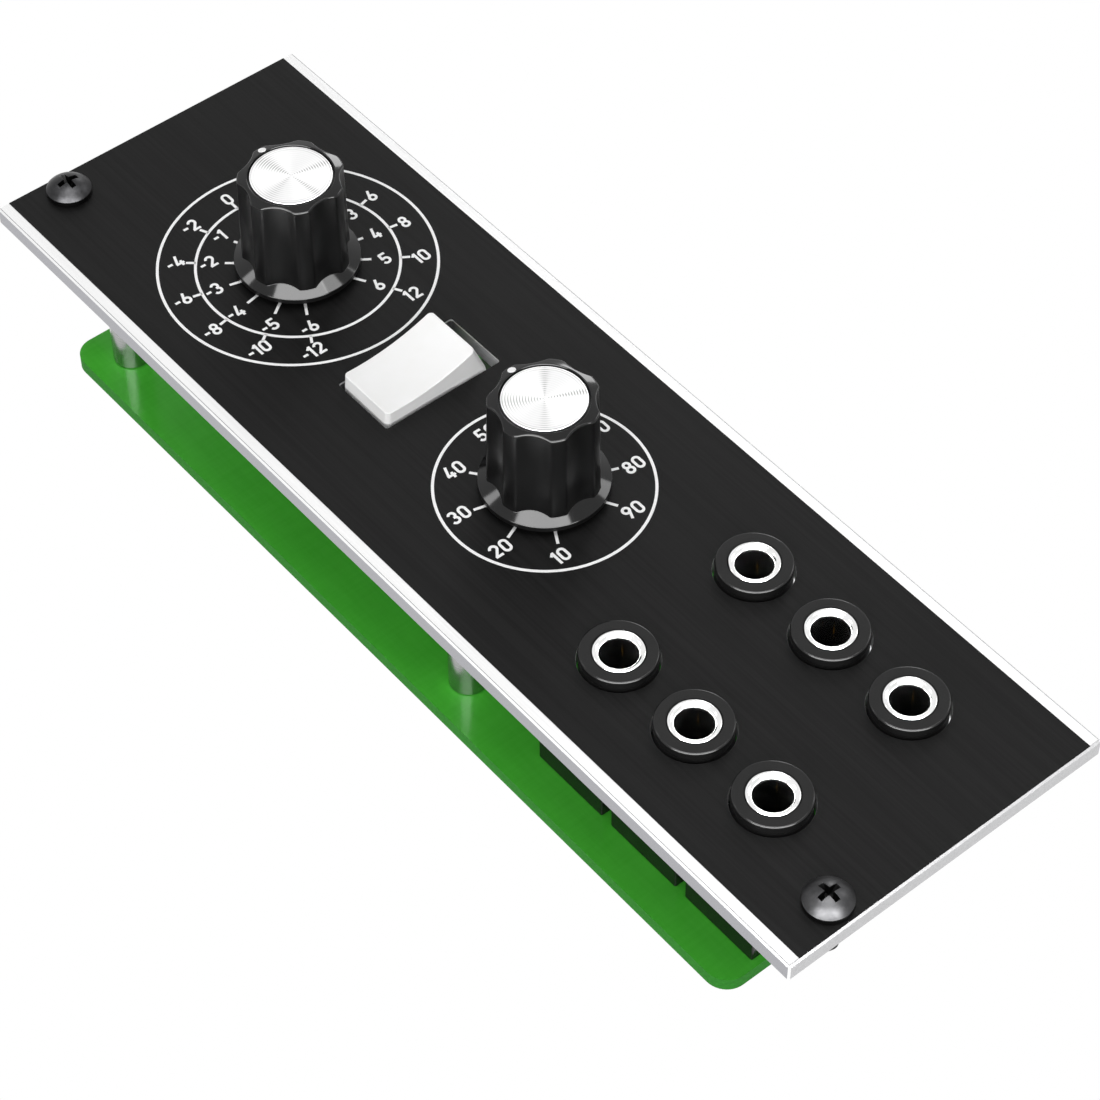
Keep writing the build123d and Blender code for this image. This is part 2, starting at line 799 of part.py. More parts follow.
def chip_resistors():
    piece = block(chip_resistor_width, chip_resistor_length, -chip_resistor_thickness, 0)
    pieces = []
    for shares in resistor_place_shares:
        x, y = board_place(shares)
        for i in range(resistor_rows):
            offset = (i - (resistor_rows - 1) / 2) * resistor_pitch
            pieces.append(Pos(x + offset, y, board_back) * piece)
    return pieces


def build():
    os.makedirs("parts", exist_ok=True)
    write("front_panel", front_panel())
    write("face_coat", face_coat())
    write("scale_print", *scale_print())
    write("panel_screws", *panel_screws())
    write("main_board", main_board())
    write("board_standoffs", *board_standoffs())
    write("board_screws", *board_screws())
    for name, y in dial_heights.items():
        write(f"{name}_pot_case", pot_case(y))
        write(f"{name}_pot_element", pot_element(y))
        write(f"{name}_pot_terminals", *pot_terminals(y))
        write(f"{name}_pot_bushing", pot_bushing(y))
        write(f"{name}_pot_shaft", pot_shaft(y))
        write(f"{name}_pot_wiper", pot_wiper(y))
        write(f"{name}_knob_body", knob_body(y))
        write(f"{name}_knob_cap", knob_cap(y))
        write(f"{name}_knob_pointer", knob_pointer(y))
    write("rocker", rocker())
    write("rocker_plunger", rocker_plunger())
    write("rocker_spring", rocker_spring())
    write("switch_frame", switch_frame())
    write("switch_terminals", *switch_terminals())
    write("contact_lever", contact_lever())
    for number, (x, y) in enumerate(jack_places, 1):
        write(f"jack_body_{number}", jack_body(x, y))
        write(f"jack_bushing_{number}", jack_bushing(x, y))
        write(f"jack_contacts_{number}", *jack_contacts(x, y))
    write("header_shroud", header_shroud())
    write("header_pins", *header_pins())
    write("chips", *chips())
    write("capacitor_bases", *capacitor_bases())
    write("capacitor_cans", *capacitor_cans())
    write("chip_resistors", *chip_resistors())


build()
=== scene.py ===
"""Dresses the eurorack module: camera, light, finishes and the detailed pieces that show.

Pieces are drawn in millimetres in panel coordinates, x to the right, y up the panel and z out of
its front face, and are then set upright in the frame's metres.
"""
import json
from math import atan2, cos, hypot, pi, radians, sin, sqrt, tan

import bmesh
import bpy
from mathutils import Matrix, Vector


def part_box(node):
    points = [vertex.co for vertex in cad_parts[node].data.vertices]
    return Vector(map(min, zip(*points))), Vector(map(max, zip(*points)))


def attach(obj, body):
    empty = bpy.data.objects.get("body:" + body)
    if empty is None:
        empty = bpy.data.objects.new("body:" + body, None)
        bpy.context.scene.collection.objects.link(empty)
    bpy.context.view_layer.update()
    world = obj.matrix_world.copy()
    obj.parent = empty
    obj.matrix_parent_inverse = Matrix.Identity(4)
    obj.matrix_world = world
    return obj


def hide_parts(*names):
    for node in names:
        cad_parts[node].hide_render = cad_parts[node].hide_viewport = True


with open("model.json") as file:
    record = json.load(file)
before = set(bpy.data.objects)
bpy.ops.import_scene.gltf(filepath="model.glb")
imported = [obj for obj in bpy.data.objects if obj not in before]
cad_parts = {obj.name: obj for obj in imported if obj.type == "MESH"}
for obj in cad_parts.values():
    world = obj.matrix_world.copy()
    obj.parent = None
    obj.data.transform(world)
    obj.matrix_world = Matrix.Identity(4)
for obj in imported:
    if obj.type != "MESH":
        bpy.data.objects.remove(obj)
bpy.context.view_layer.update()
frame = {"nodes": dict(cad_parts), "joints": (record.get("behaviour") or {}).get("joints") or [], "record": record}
nodes = frame["nodes"]

# Panel, its coat and its print
PANEL_THICKNESS = 2.0
COAT_THICKNESS = 0.05
PRINT_THICKNESS = 0.03
PRINT_LEVEL = COAT_THICKNESS + PRINT_THICKNESS

# Panel coordinates in millimetres to the frame in metres
MM = 0.001
UPRIGHT = Matrix((
    (MM, 0, 0, 0),
    (0, 0, -MM, -PANEL_THICKNESS * MM),
    (0, MM, 0, 0),
    (0, 0, 0, 1),
))
TO_PANEL = UPRIGHT.inverted()


def panel_box(name):
    """A node's lowest and highest corners in panel coordinates."""
    ends = [TO_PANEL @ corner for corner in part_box(name)]
    low = Vector([min(values) for values in zip(*ends)])
    high = Vector([max(values) for values in zip(*ends)])
    return low, high


def centre_of(name):
    low, high = panel_box(name)
    return (low + high) / 2


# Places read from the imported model
JOINT_PLACES = {joint["name"]: TO_PANEL @ Vector(joint["pos_m"]) for joint in frame["joints"]}
DIALS = {"upper": JOINT_PLACES["upper_knob_turn"].y, "lower": JOINT_PLACES["lower_knob_turn"].y}
JACK_COUNT = 6
JACKS = [centre_of(f"jack_bushing_{i + 1}").xy for i in range(JACK_COUNT)]
BOARD_LOW, BOARD_HIGH = panel_box("main_board")
BOARD_BACK, BOARD_FACE = BOARD_LOW.z, BOARD_HIGH.z


# Small tools
def hex_colour(text):
    """An sRGB hex colour as linear RGBA."""
    shares = [int(text[i:i + 2], 16) / 255 for i in (1, 3, 5)]
    linear = [c / 12.92 if c <= 0.04045 else ((c + 0.055) / 1.055) ** 2.4 for c in shares]
    return (*linear, 1.0)


MATH = "ShaderNodeMath"
VECTOR = "ShaderNodeVectorMath"
COMBINE = "ShaderNodeCombineXYZ"
PARTS = "ShaderNodeSeparateXYZ"
MIX = "ShaderNodeMix"
RANGE = "ShaderNodeMapRange"


def node(tree, kind, inputs=None, **settings):
    """Adds a node, applies its settings, and fills its inputs by name or number.

    Each input is a plain value, a hex colour, a socket, or a node, which links its first output in use.
    """
    made = tree.nodes.new(kind)
    for name, value in settings.items():
        setattr(made, name, value)
    for name, value in (inputs or {}).items():
        if isinstance(value, str) and value.startswith("#"):
            value = hex_colour(value)
        if isinstance(value, bpy.types.Node):
            value = next(socket for socket in value.outputs if socket.enabled)
        if isinstance(value, bpy.types.NodeSocket):
            tree.links.new(value, made.inputs[name])
        else:
            made.inputs[name].default_value = value
    return made


def link(item):
    bpy.context.scene.collection.objects.link(item)
    return item


def as_mesh(build, name="outline"):
    """A plain mesh from a bmesh, merged and with its faces pointing outwards."""
    bmesh.ops.remove_doubles(build, verts=build.verts, dist=1e-4)
    bmesh.ops.recalc_face_normals(build, faces=build.faces)
    mesh = bpy.data.meshes.new(name)
    build.to_mesh(mesh)
    build.free()
    return mesh


def settled(item):
    """The mesh that an object has after its modifiers; the object itself goes."""
    graph = bpy.context.evaluated_depsgraph_get()
    mesh = bpy.data.meshes.new_from_object(item.evaluated_get(graph))
    bpy.data.objects.remove(item)
    return mesh


def joined(*meshes):
    """One mesh from several."""
    build = bmesh.new()
    for mesh in meshes:
        build.from_mesh(mesh)
    mesh = bpy.data.meshes.new("joined")
    build.to_mesh(mesh)
    build.free()
    return mesh


def moved(mesh, x=0.0, y=0.0, z=0.0):
    copy = mesh.copy()
    copy.transform(Matrix.Translation((x, y, z)))
    return copy


def dress(name, mesh, finish, body, slot, *replaced, sharp=38):
    """Sets a mesh upright as a finished piece that rides on a body."""
    mesh.materials.clear()
    mesh.materials.append(finish)
    mesh.shade_smooth()
    mesh.set_sharp_from_angle(angle=radians(sharp))
    shaded = link(bpy.data.objects.new("shaded", mesh))
    step = shaded.modifiers.new("flats stay flat", "WEIGHTED_NORMAL")
    step.keep_sharp = True
    mesh = settled(shaded)
    mesh.transform(UPRIGHT)
    item = link(bpy.data.objects.new(name, mesh))
    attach(item, body)
    if replaced:
        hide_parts(*replaced)
    return item


# Outlines and solids
def eased(corners, steps=4, closed=False):
    """An outline whose corners, given as (u, v, radius), are rounded."""
    points = []
    last = len(corners) - 1
    for i, (u, v, radius) in enumerate(corners):
        if radius == 0 or (not closed and i in (0, last)):
            points.append((u, v))
            continue
        here = Vector((u, v))
        before = (Vector(corners[i - 1][:2]) - here).normalized()
        after = (Vector(corners[(i + 1) % len(corners)][:2]) - here).normalized()
        half = before.angle(after) / 2
        middle = here + (before + after).normalized() * radius / sin(half)
        start = here + before * radius / tan(half) - middle
        end = here + after * radius / tan(half) - middle
        first = atan2(start.y, start.x)
        sweep = (atan2(end.y, end.x) - first + pi) % (2 * pi) - pi
        for step in range(steps + 1):
            turn = first + sweep * step / steps
            points.append((middle.x + radius * cos(turn), middle.y + radius * sin(turn)))
    return points


def spun(profile_at, sides=96):
    """A skin round the z axis; profile_at gives its (radius, z) points at each angle."""
    build = bmesh.new()
    poles = {}
    columns = []
    for i in range(sides):
        turn = 2 * pi * i / sides
        column = []
        for row, (radius, z) in enumerate(profile_at(turn)):
            if radius > 0:
                column.append(build.verts.new((radius * cos(turn), radius * sin(turn), z)))
                continue
            if row not in poles:
                poles[row] = build.verts.new((0, 0, z))
            column.append(poles[row])
        columns.append(column)
    for i, here in enumerate(columns):
        there = columns[(i + 1) % sides]
        for row in range(len(here) - 1):
            corners = dict.fromkeys((here[row], there[row], there[row + 1], here[row + 1]))
            if len(corners) > 2:
                build.faces.new(list(corners))
    return as_mesh(build)


def lathe(outline, sides=96):
    """A solid turned about z from one outline of (radius, z) points."""
    return spun(lambda turn: outline, sides)


def round_edges(build, edges, radius, steps):
    bmesh.ops.bevel(
        build, geom=edges, offset=radius, offset_type="OFFSET", segments=steps, profile=0.5, affect="EDGES",
    )


def close_between(build, first, second):
    """Walls between two loops of corners, and a face over each end."""
    for i in range(len(first)):
        j = (i + 1) % len(first)
        build.faces.new((first[i], first[j], second[j], second[i]))
    build.faces.new(second)
    build.faces.new(first[::-1])


def slab(width, height, low, high, round_off=0.0, steps=3, x=0.0, y=0.0):
    """A block with all its edges rounded."""
    build = bmesh.new()
    place = Matrix.Translation((x, y, (low + high) / 2)) @ Matrix.Diagonal((width, height, high - low, 1))
    bmesh.ops.create_cube(build, size=1.0, matrix=place)
    if round_off:
        round_edges(build, build.edges[:], round_off, steps)
    return as_mesh(build)


def prism(outline, low, high, round_off=0.0, steps=3):
    """A closed outline of (x, y) points raised from low to high, its rims rounded."""
    build = bmesh.new()
    floor = [build.verts.new((x, y, low)) for x, y in outline]
    roof = [build.verts.new((x, y, high)) for x, y in outline]
    close_between(build, floor, roof)
    if round_off:
        loops = (floor, roof)
        rims = [build.edges.get((loop[i - 1], loop[i])) for i in range(len(outline)) for loop in loops]
        round_edges(build, rims, round_off, steps)
    return as_mesh(build)


def cut(mesh, *cutters, operation="DIFFERENCE"):
    """A mesh with others cut away from it, or added to it."""
    item = link(bpy.data.objects.new("blank", mesh))
    tools = [link(bpy.data.objects.new("cutter", cutter)) for cutter in cutters]
    for tool in tools:
        step = item.modifiers.new("cut", "BOOLEAN")
        step.operation = operation
        step.solver = "EXACT"
        step.object = tool
    mesh = settled(item)
    for tool in tools:
        bpy.data.objects.remove(tool)
    return mesh


# Geometry Nodes
def growing_tree(name, *sockets):
    """An empty tree with a geometry in and out and named inputs, given as (name, kind)."""
    tree = bpy.data.node_groups.new(name, "GeometryNodeTree")
    tree.interface.new_socket("Geometry", in_out="INPUT", socket_type="NodeSocketGeometry")
    for label, kind in sockets:
        tree.interface.new_socket(label, in_out="INPUT", socket_type=kind)
    tree.interface.new_socket("Geometry", in_out="OUTPUT", socket_type="NodeSocketGeometry")
    return tree


def finish_tree(tree, instances, finish):
    """Ends a tree in real geometry with its finish set."""
    real = node(tree, "GeometryNodeRealizeInstances", {"Geometry": instances})
    painted = node(tree, "GeometryNodeSetMaterial", {"Geometry": real, "Material": finish})
    node(tree, "NodeGroupOutput", {"Geometry": painted})
    return tree


def copies_tree():
    """Sets a copy of Piece at each point, turned about z by the point's turn."""
    tree = growing_tree("copies at places", ("Piece", "NodeSocketObject"), ("Finish", "NodeSocketMaterial"))
    given = node(tree, "NodeGroupInput").outputs
    piece = node(tree, "GeometryNodeObjectInfo", {"Object": given["Piece"], "As Instance": True})
    turn = node(tree, "GeometryNodeInputNamedAttribute", {"Name": "turn"}, data_type="FLOAT")
    angles = node(tree, COMBINE, {"Z": turn.outputs["Attribute"]})
    placed = node(tree, "GeometryNodeInstanceOnPoints", {
        "Points": given["Geometry"], "Instance": piece.outputs["Geometry"],
        "Rotation": node(tree, "FunctionNodeEulerToRotation", {"Euler": angles}),
    })
    return finish_tree(tree, placed, given["Finish"])


def marks_tree():
    """Spreads Count plain bars evenly over Sweep, each pointing away from the dial's centre."""
    tree = growing_tree(
        "dial marks", ("Count", "NodeSocketInt"), ("Sweep", "NodeSocketFloat"),
        ("Radius", "NodeSocketFloat"), ("Length", "NodeSocketFloat"), ("Width", "NodeSocketFloat"),
        ("Thickness", "NodeSocketFloat"), ("Centre", "NodeSocketVector"), ("Finish", "NodeSocketMaterial"),
    )
    given = node(tree, "NodeGroupInput").outputs
    points = node(tree, "GeometryNodePoints", {"Count": given["Count"]})
    gaps = node(tree, MATH, {0: given["Count"], 1: 1.0}, operation="SUBTRACT")
    share = node(tree, MATH, {0: node(tree, "GeometryNodeInputIndex"), 1: gaps}, operation="DIVIDE")
    centred = node(tree, MATH, {0: 0.5, 1: share}, operation="SUBTRACT")
    turn = node(tree, MATH, {0: centred, 1: given["Sweep"]}, operation="MULTIPLY")
    angles = node(tree, COMBINE, {"Z": turn})
    outward = node(tree, COMBINE, {"Y": given["Radius"]})
    swung = node(
        tree, "ShaderNodeVectorRotate", {"Vector": outward, "Rotation": angles}, rotation_type="EULER_XYZ",
    )
    place = node(tree, VECTOR, {0: swung, 1: given["Centre"]}, operation="ADD")
    size = node(tree, COMBINE, {"X": given["Width"], "Y": given["Length"], "Z": given["Thickness"]})
    placed = node(tree, "GeometryNodeInstanceOnPoints", {
        "Points": node(tree, "GeometryNodeSetPosition", {"Geometry": points, "Position": place}),
        "Instance": node(tree, "GeometryNodeMeshCube", {"Size": size}),
        "Rotation": node(tree, "FunctionNodeEulerToRotation", {"Euler": angles}),
    })
    return finish_tree(tree, placed, given["Finish"])


def grown(tree, mesh=None, **values):
    """The plain mesh that a tree makes from a mesh and its named inputs."""
    item = link(bpy.data.objects.new("growing", mesh or bpy.data.meshes.new("seed")))
    step = item.modifiers.new("growth", "NODES")
    step.node_group = tree
    for socket in tree.interface.items_tree:
        if socket.in_out == "INPUT" and socket.name in values:
            step[socket.identifier] = values[socket.name]
    return settled(item)


COPIES = copies_tree()
MARKS = marks_tree()


def copies(mesh, places, finish):
    """Copies of a mesh at (x, y, z, turn) places."""
    spots = bpy.data.meshes.new("places")
    spots.from_pydata([place[:3] for place in places], [], [])
    turns = spots.attributes.new("turn", "FLOAT", "POINT")
    turns.data.foreach_set("value", [place[3] for place in places])
    pattern = link(bpy.data.objects.new("pattern", mesh))
    made = grown(COPIES, spots, Piece=pattern, Finish=finish)
    bpy.data.objects.remove(pattern)
    return made


def add_copies(name, mesh, places, slot, *replaced, finish=None):
    """Copies of a mesh at places as one finished piece of the module."""
    finish = FINISHES[finish or slot]
    dress(name, copies(mesh, places, finish), finish, "module", slot, *replaced)


# Camera and light
# The camera's place and axes come from fitting the panel's corners to the photograph
CAMERA_PLACE = (-0.14164, -0.25240, -0.17657)
CAMERA_RIGHT = (0.76891, 0.0, -0.63936)
CAMERA_UP = (0.48640, -0.64900, 0.58500)
CAMERA_AHEAD = (0.41497, 0.76079, 0.49900)
FOCAL_LENGTH = 107.84
SENSOR_WIDTH = 36.0
FLOOR_LEVEL = -0.95
FLOOR_SIZE = 60.0
FLOOR_GLOW = 0.62
SKY_GREY = "#bebebe"
LEVEL = (1.0, 0.0, 0.0)
SLOPING = (0.77, 0.0, -0.64)
# Lamps as (name, place, width, height, radiance, long side). The soft ones light; the bright ones
# only show in gloss, as the long box over the panel that the skirts of the knobs mirror
SOFT_LAMPS = [
    ("soft_overhead", (0.0, -0.80, 0.10), 0.5, 0.5, 2.9, LEVEL),
    ("soft_low_left", (-0.40, -0.17, -0.36), 0.3, 0.3, 6.5, LEVEL),
    ("soft_rear", (0.3, 0.75, 0.35), 0.5, 0.5, 3.6, LEVEL),
]
GLOSS_LAMPS = [
    ("gloss_overhead", (-0.066, -0.80, -0.056), 0.63, 0.27, 11.5, SLOPING),
    ("gloss_overhead_right", (0.35, -0.80, -0.15), 0.24, 0.11, 7.5, LEVEL),
    ("gloss_upper_left", (-0.40, -0.80, 0.74), 0.15, 0.17, 7.0, LEVEL),
    ("gloss_low_front", (-0.29, -0.39, -0.354), 1.1, 0.34, 18.0, SLOPING),
    ("gloss_right", (0.62, -0.44, -0.08), 0.20, 0.20, 5.0, LEVEL),
    ("gloss_upper_right", (0.58, -0.33, 0.43), 0.17, 0.20, 8.0, LEVEL),
]


def place_camera():
    lens = bpy.data.cameras.new("camera")
    lens.lens = FOCAL_LENGTH
    lens.sensor_width = SENSOR_WIDTH
    lens.clip_start = 0.01
    camera = link(bpy.data.objects.new("camera", lens))
    columns = (CAMERA_RIGHT, CAMERA_UP, [-value for value in CAMERA_AHEAD])
    turn = Matrix(columns).transposed().to_4x4()
    camera.matrix_world = Matrix.Translation(CAMERA_PLACE) @ turn
    bpy.context.scene.camera = camera


def lamp(name, place, width, height, radiance, long_side):
    """An area lamp that faces the object."""
    light = bpy.data.lights.new(name, "AREA")
    light.shape = "RECTANGLE"
    light.size = width
    light.size_y = height
    light.energy = radiance * pi * width * height
    item = link(bpy.data.objects.new(name, light))
    back = Vector(place).normalized()
    along = Vector(long_side)
    along = (along - back * along.dot(back)).normalized()
    turn = Matrix((along, back.cross(along), back)).transposed().to_4x4()
    item.matrix_world = Matrix.Translation(place) @ turn
    return item


def light_the_studio():
    """A white surround that the camera and gloss see, a softer one that lights, and the lamps."""
    world = bpy.data.worlds.new("studio")
    bpy.context.scene.world = world
    world.use_nodes = True
    tree = world.node_tree
    tree.nodes.clear()
    rays = node(tree, "ShaderNodeLightPath").outputs
    seen = node(tree, MATH, {0: rays["Is Camera Ray"], 1: rays["Is Glossy Ray"]}, operation="ADD")
    seen = node(tree, MATH, {0: seen, 1: rays["Is Transmission Ray"]}, operation="ADD")
    colour = layered(tree, SKY_GREY, (seen, "#ffffff"))
    sky = node(tree, "ShaderNodeBackground", {"Color": colour, "Strength": 1.0})
    node(tree, "ShaderNodeOutputWorld", {"Surface": sky})
    for settings in SOFT_LAMPS:
        lamp(*settings).visible_glossy = False
    for settings in GLOSS_LAMPS:
        lamp(*settings).visible_diffuse = False


def lay_floor():
    """A pale studio floor, far enough below for the photograph's low viewpoint."""
    build = bmesh.new()
    bmesh.ops.create_grid(build, x_segments=1, y_segments=1, size=FLOOR_SIZE / 2)
    mesh = as_mesh(build, "floor")
    mesh.transform(Matrix.Translation((0, 0, FLOOR_LEVEL)))
    finish, tree, _ = new_finish("studio_paper")
    paper = node(tree, "ShaderNodeBsdfDiffuse", {"Color": "#d0d0d0"})
    rays = node(tree, "ShaderNodeLightPath").outputs
    seen = node(tree, MATH, {0: rays["Is Camera Ray"], 1: rays["Is Glossy Ray"]}, operation="MAXIMUM")
    glow = node(tree, MATH, {0: seen, 1: FLOOR_GLOW}, operation="MULTIPLY")
    glow = node(tree, "ShaderNodeEmission", {"Color": "#ffffff", "Strength": glow})
    surface = node(tree, "ShaderNodeAddShader", {0: paper, 1: glow})
    node(tree, "ShaderNodeOutputMaterial", {"Surface": surface})
    mesh.materials.append(finish)
    link(bpy.data.objects.new("floor", mesh))


# Finishes
# The band that noise seldom leaves, from which it is spread
NOISE_LOW = 0.3
NOISE_HIGH = 0.7


def new_finish(name):
    """A material with a cleared tree and its Object coordinates."""
    finish = bpy.data.materials.new(name)
    finish.use_nodes = True
    tree = finish.node_tree
    tree.nodes.clear()
    return finish, tree, node(tree, "ShaderNodeTexCoord").outputs["Object"]


def show(tree, inputs, relief=None, depth=0.0):
    """The tree's surface: a Principled shader, with a relief that stands a depth in millimetres."""
    if relief:
        inputs["Normal"] = node(tree, "ShaderNodeBump", {
            "Height": relief, "Strength": 1.0, "Distance": depth * MM,
        })
    surface = node(tree, "ShaderNodeBsdfPrincipled", inputs)
    node(tree, "ShaderNodeOutputMaterial", {"Surface": surface})


def mottled(tree, place, width, low=0.0, high=1.0):
    """Cloudy patches of a width in millimetres, between two values."""
    noise = node(tree, "ShaderNodeTexNoise", {"Vector": place, "Scale": 1 / (width * MM), "Detail": 3.0})
    return node(tree, RANGE, {
        "Value": noise, "From Min": NOISE_LOW, "From Max": NOISE_HIGH, "To Min": low, "To Max": high,
    })


def streaked(tree, place, widths, low=0.0, high=1.0):
    """Patches drawn out along the axes: widths are their sizes along X, Y and Z, in millimetres."""
    drawn_out = node(tree, "ShaderNodeMapping", {
        "Vector": place, "Scale": [1 / (width * MM) for width in widths],
    })
    noise = node(tree, "ShaderNodeTexNoise", {"Vector": drawn_out, "Scale": 1.0, "Detail": 2.0})
    return node(tree, RANGE, {
        "Value": noise, "From Min": NOISE_LOW, "From Max": NOISE_HIGH, "To Min": low, "To Max": high,
    })


def facing(tree, axis, start, end):
    """How far the surface faces along an axis, from 0 at a share of its normal to 1 at another."""
    normal = node(tree, "ShaderNodeTexCoord").outputs["Normal"]
    lean = node(tree, PARTS, {"Vector": node(tree, VECTOR, {0: normal}, operation="ABSOLUTE")})
    return node(tree, RANGE, {"Value": lean.outputs[axis], "From Min": start, "From Max": end})


def where_all(tree, *shares):
    """The product of shares, each one a value or a (value, comparison, limit)."""
    product = 1.0
    for share in shares:
        if isinstance(share, tuple):
            value, comparison, limit = share
            share = node(tree, MATH, {0: value, 1: limit}, operation=comparison)
        product = node(tree, MATH, {0: product, 1: share}, operation="MULTIPLY")
    return product


def layered(tree, colour, *layers):
    """A colour with others laid over it in turn, each given as (share, colour)."""
    for share, over in layers:
        colour = node(tree, MIX, {0: share, 6: colour, 7: over}, data_type="RGBA")
    return colour


def moulded_plastic(name, dark, pale, grain, roughness, level):
    """Moulded plastic: fine spark-eroded grain that breaks up a soft gloss."""
    finish, tree, place = new_finish(name)
    show(tree, {
        "Base Color": layered(tree, dark, (mottled(tree, place, 4.0), pale)),
        "Roughness": mottled(tree, place, 1.2, roughness * 0.88, roughness * 1.12),
        "Specular IOR Level": level,
    }, mottled(tree, place, grain), 0.0004)
    return finish


def knob_plastic():
    """Black ABS: top and skirt polished by the tool, the fluted wall left satin by its draft."""
    finish, tree, place = new_finish("black_abs")
    wall = mottled(tree, place, 4.0, 0.295, 0.31)
    show(tree, {
        "Base Color": layered(tree, "#060606", (mottled(tree, place, 2.0), "#0a0a0b")),
        "Roughness": node(tree, MIX, {0: facing(tree, "Y", 0.15, 0.5), 2: wall, 3: 0.09}),
        "Specular IOR Level": 0.35,
    }, mottled(tree, place, 0.3), 0.0001)
    return finish


def sheet_metal(name, dark, pale, widths, roughness):
    """Rolled, drawn or turned metal: fine streaks along its working direction."""
    finish, tree, place = new_finish(name)
    streaks = streaked(tree, place, widths)
    show(tree, {
        "Base Color": layered(tree, dark, (streaks, pale)),
        "Metallic": 1.0,
        "Roughness": streaked(tree, place, widths, roughness * 0.85, roughness * 1.15),
    }, streaks, 0.0008)
    return finish


# The plate's marks in millimetres: across from its centre, deep from its rear face, and painted shade by the
# switch
SHADE_LINE_AT_CHAMFER = 19.93
SHADE_LINE_AT_CHAMFER_HALF_WIDTH = 0.03
PAINT_HALF_WIDTH = 18.6
PAINT_HALF_HEIGHT = 63.8
PAINT_DEPTH = 1.93
LIP_DEPTH = 1.76
END_SHADE_STRIP = 63.93
CORNER_HIGHLIGHT_HALF_WIDTH = 19.95
CORNER_HIGHLIGHT_HALF_HEIGHT = 64.05
SWITCH_SHADE_START = -3.5
SWITCH_SHADE_END = 4.5


def bare_aluminium():
    """Milled aluminium plate: bright faces, sawn sides and ends with a fine grain whose greys are partly painted
    shade, the sides darker than the ends, and a painted shade line at the chamfer.

    The plate is dark under its paint, and duller where the openings are milled through it. Painted shade darkens
    the walls towards the switch and the front's strip at the bottom end; a painted highlight brightens the
    corners.
    """
    finish, tree, place = new_finish("bare_aluminium_plate")
    where = node(tree, PARTS, {"Vector": place}).outputs
    apart = node(tree, PARTS, {"Vector": node(tree, VECTOR, {0: place}, operation="ABSOLUTE")}).outputs
    flat = facing(tree, "Y", 0.35, 0.6)
    upright = node(tree, MATH, {0: 1.0, 1: flat}, operation="SUBTRACT")
    brushing = streaked(tree, place, (0.2, 0.2, 16.0))
    grain = mottled(tree, place, 0.12)
    # the ends' grey, partly painted shade, also laid over the front's strip at the bottom end
    ends = layered(tree, "#b6b6b7", (grain, "#cccccd"))
    # painted shade: a dark line on the face where it meets the chamfer
    line = where_all(
        tree, (apart["X"], "GREATER_THAN", (SHADE_LINE_AT_CHAMFER - SHADE_LINE_AT_CHAMFER_HALF_WIDTH) * MM),
        (apart["X"], "LESS_THAN", (SHADE_LINE_AT_CHAMFER + SHADE_LINE_AT_CHAMFER_HALF_WIDTH) * MM), flat,
    )
    # painted shade: the front's strip at the bottom end takes the ends' grey
    low_strip_shade = where_all(tree, (where["Z"], "LESS_THAN", -END_SHADE_STRIP * MM), flat)
    # painted highlight: the plate's corners brighten as a rounded corner would catch the light
    corner = where_all(
        tree, (apart["X"], "GREATER_THAN", CORNER_HIGHLIGHT_HALF_WIDTH * MM),
        (apart["Z"], "GREATER_THAN", CORNER_HIGHLIGHT_HALF_HEIGHT * MM),
    )
    under_coat = where_all(
        tree, (apart["X"], "LESS_THAN", PAINT_HALF_WIDTH * MM),
        (apart["Z"], "LESS_THAN", PAINT_HALF_HEIGHT * MM),
    )
    paint = where_all(tree, under_coat, (where["Y"], "LESS_THAN", -PAINT_DEPTH * MM), flat)
    milled = where_all(tree, under_coat, upright, (where["Y"], "GREATER_THAN", -LIP_DEPTH * MM))
    lip = where_all(tree, under_coat, upright, (where["Y"], "LESS_THAN", -LIP_DEPTH * MM))
    switch = JOINT_PLACES["rocker_tilt"].y
    # painted shade: the milled walls darken towards the switch's upper end
    switch_shade = node(tree, RANGE, {
        "Value": where["Z"], "From Min": (switch + SWITCH_SHADE_START) * MM, "From Max": (switch + SWITCH_SHADE_END) * MM,
    })
    cutting = layered(tree, "#b6b6b8", (grain, "#cececf"), (switch_shade, "#3c3c3d"))
    metal = node(tree, MATH, {0: milled, 1: -0.65, 2: 1.0}, operation="MULTIPLY_ADD")
    on_back = node(tree, MATH, {0: where["Y"], 1: -PANEL_THICKNESS / 2 * MM}, operation="GREATER_THAN")
    show(tree, {
        "Base Color": layered(
            # the sides' grey and the ends' grey are partly painted shade
            tree, layered(tree, "#9c9ca0", (grain, "#b0b0b4")), (facing(tree, "Z", 0.4, 0.6), ends),
            (flat, layered(tree, "#e6e6e6", (brushing, "#eeeeee"))), (line, "#77777a"), (low_strip_shade, ends),
            (corner, "#f6f6f6"), (milled, cutting), (lip, "#f0f0f0"), (paint, "#0e0e0e"),
        ),
        "Metallic": node(tree, MATH, {0: metal, 1: paint}, operation="SUBTRACT"),
        "Roughness": node(tree, MIX, {0: flat, 2: 0.42, 3: node(tree, MIX, {0: on_back, 2: 0.30, 3: 0.50})}),
    }, brushing, 0.0004)
    return finish


def satin_coat():
    """Satin black paint over a brushed plate: the brushing shows through as faint long streaks."""
    finish, tree, place = new_finish("satin_black_coat")
    widths = (0.28, 0.28, 22.0)
    brushing = streaked(tree, place, widths)
    show(tree, {
        "Base Color": layered(tree, "#0b0b0b", (brushing, "#121212")),
        "Roughness": streaked(tree, place, widths, 0.36, 0.42),
        "Specular IOR Level": 0.115,
    }, brushing, 0.0007)
    return finish


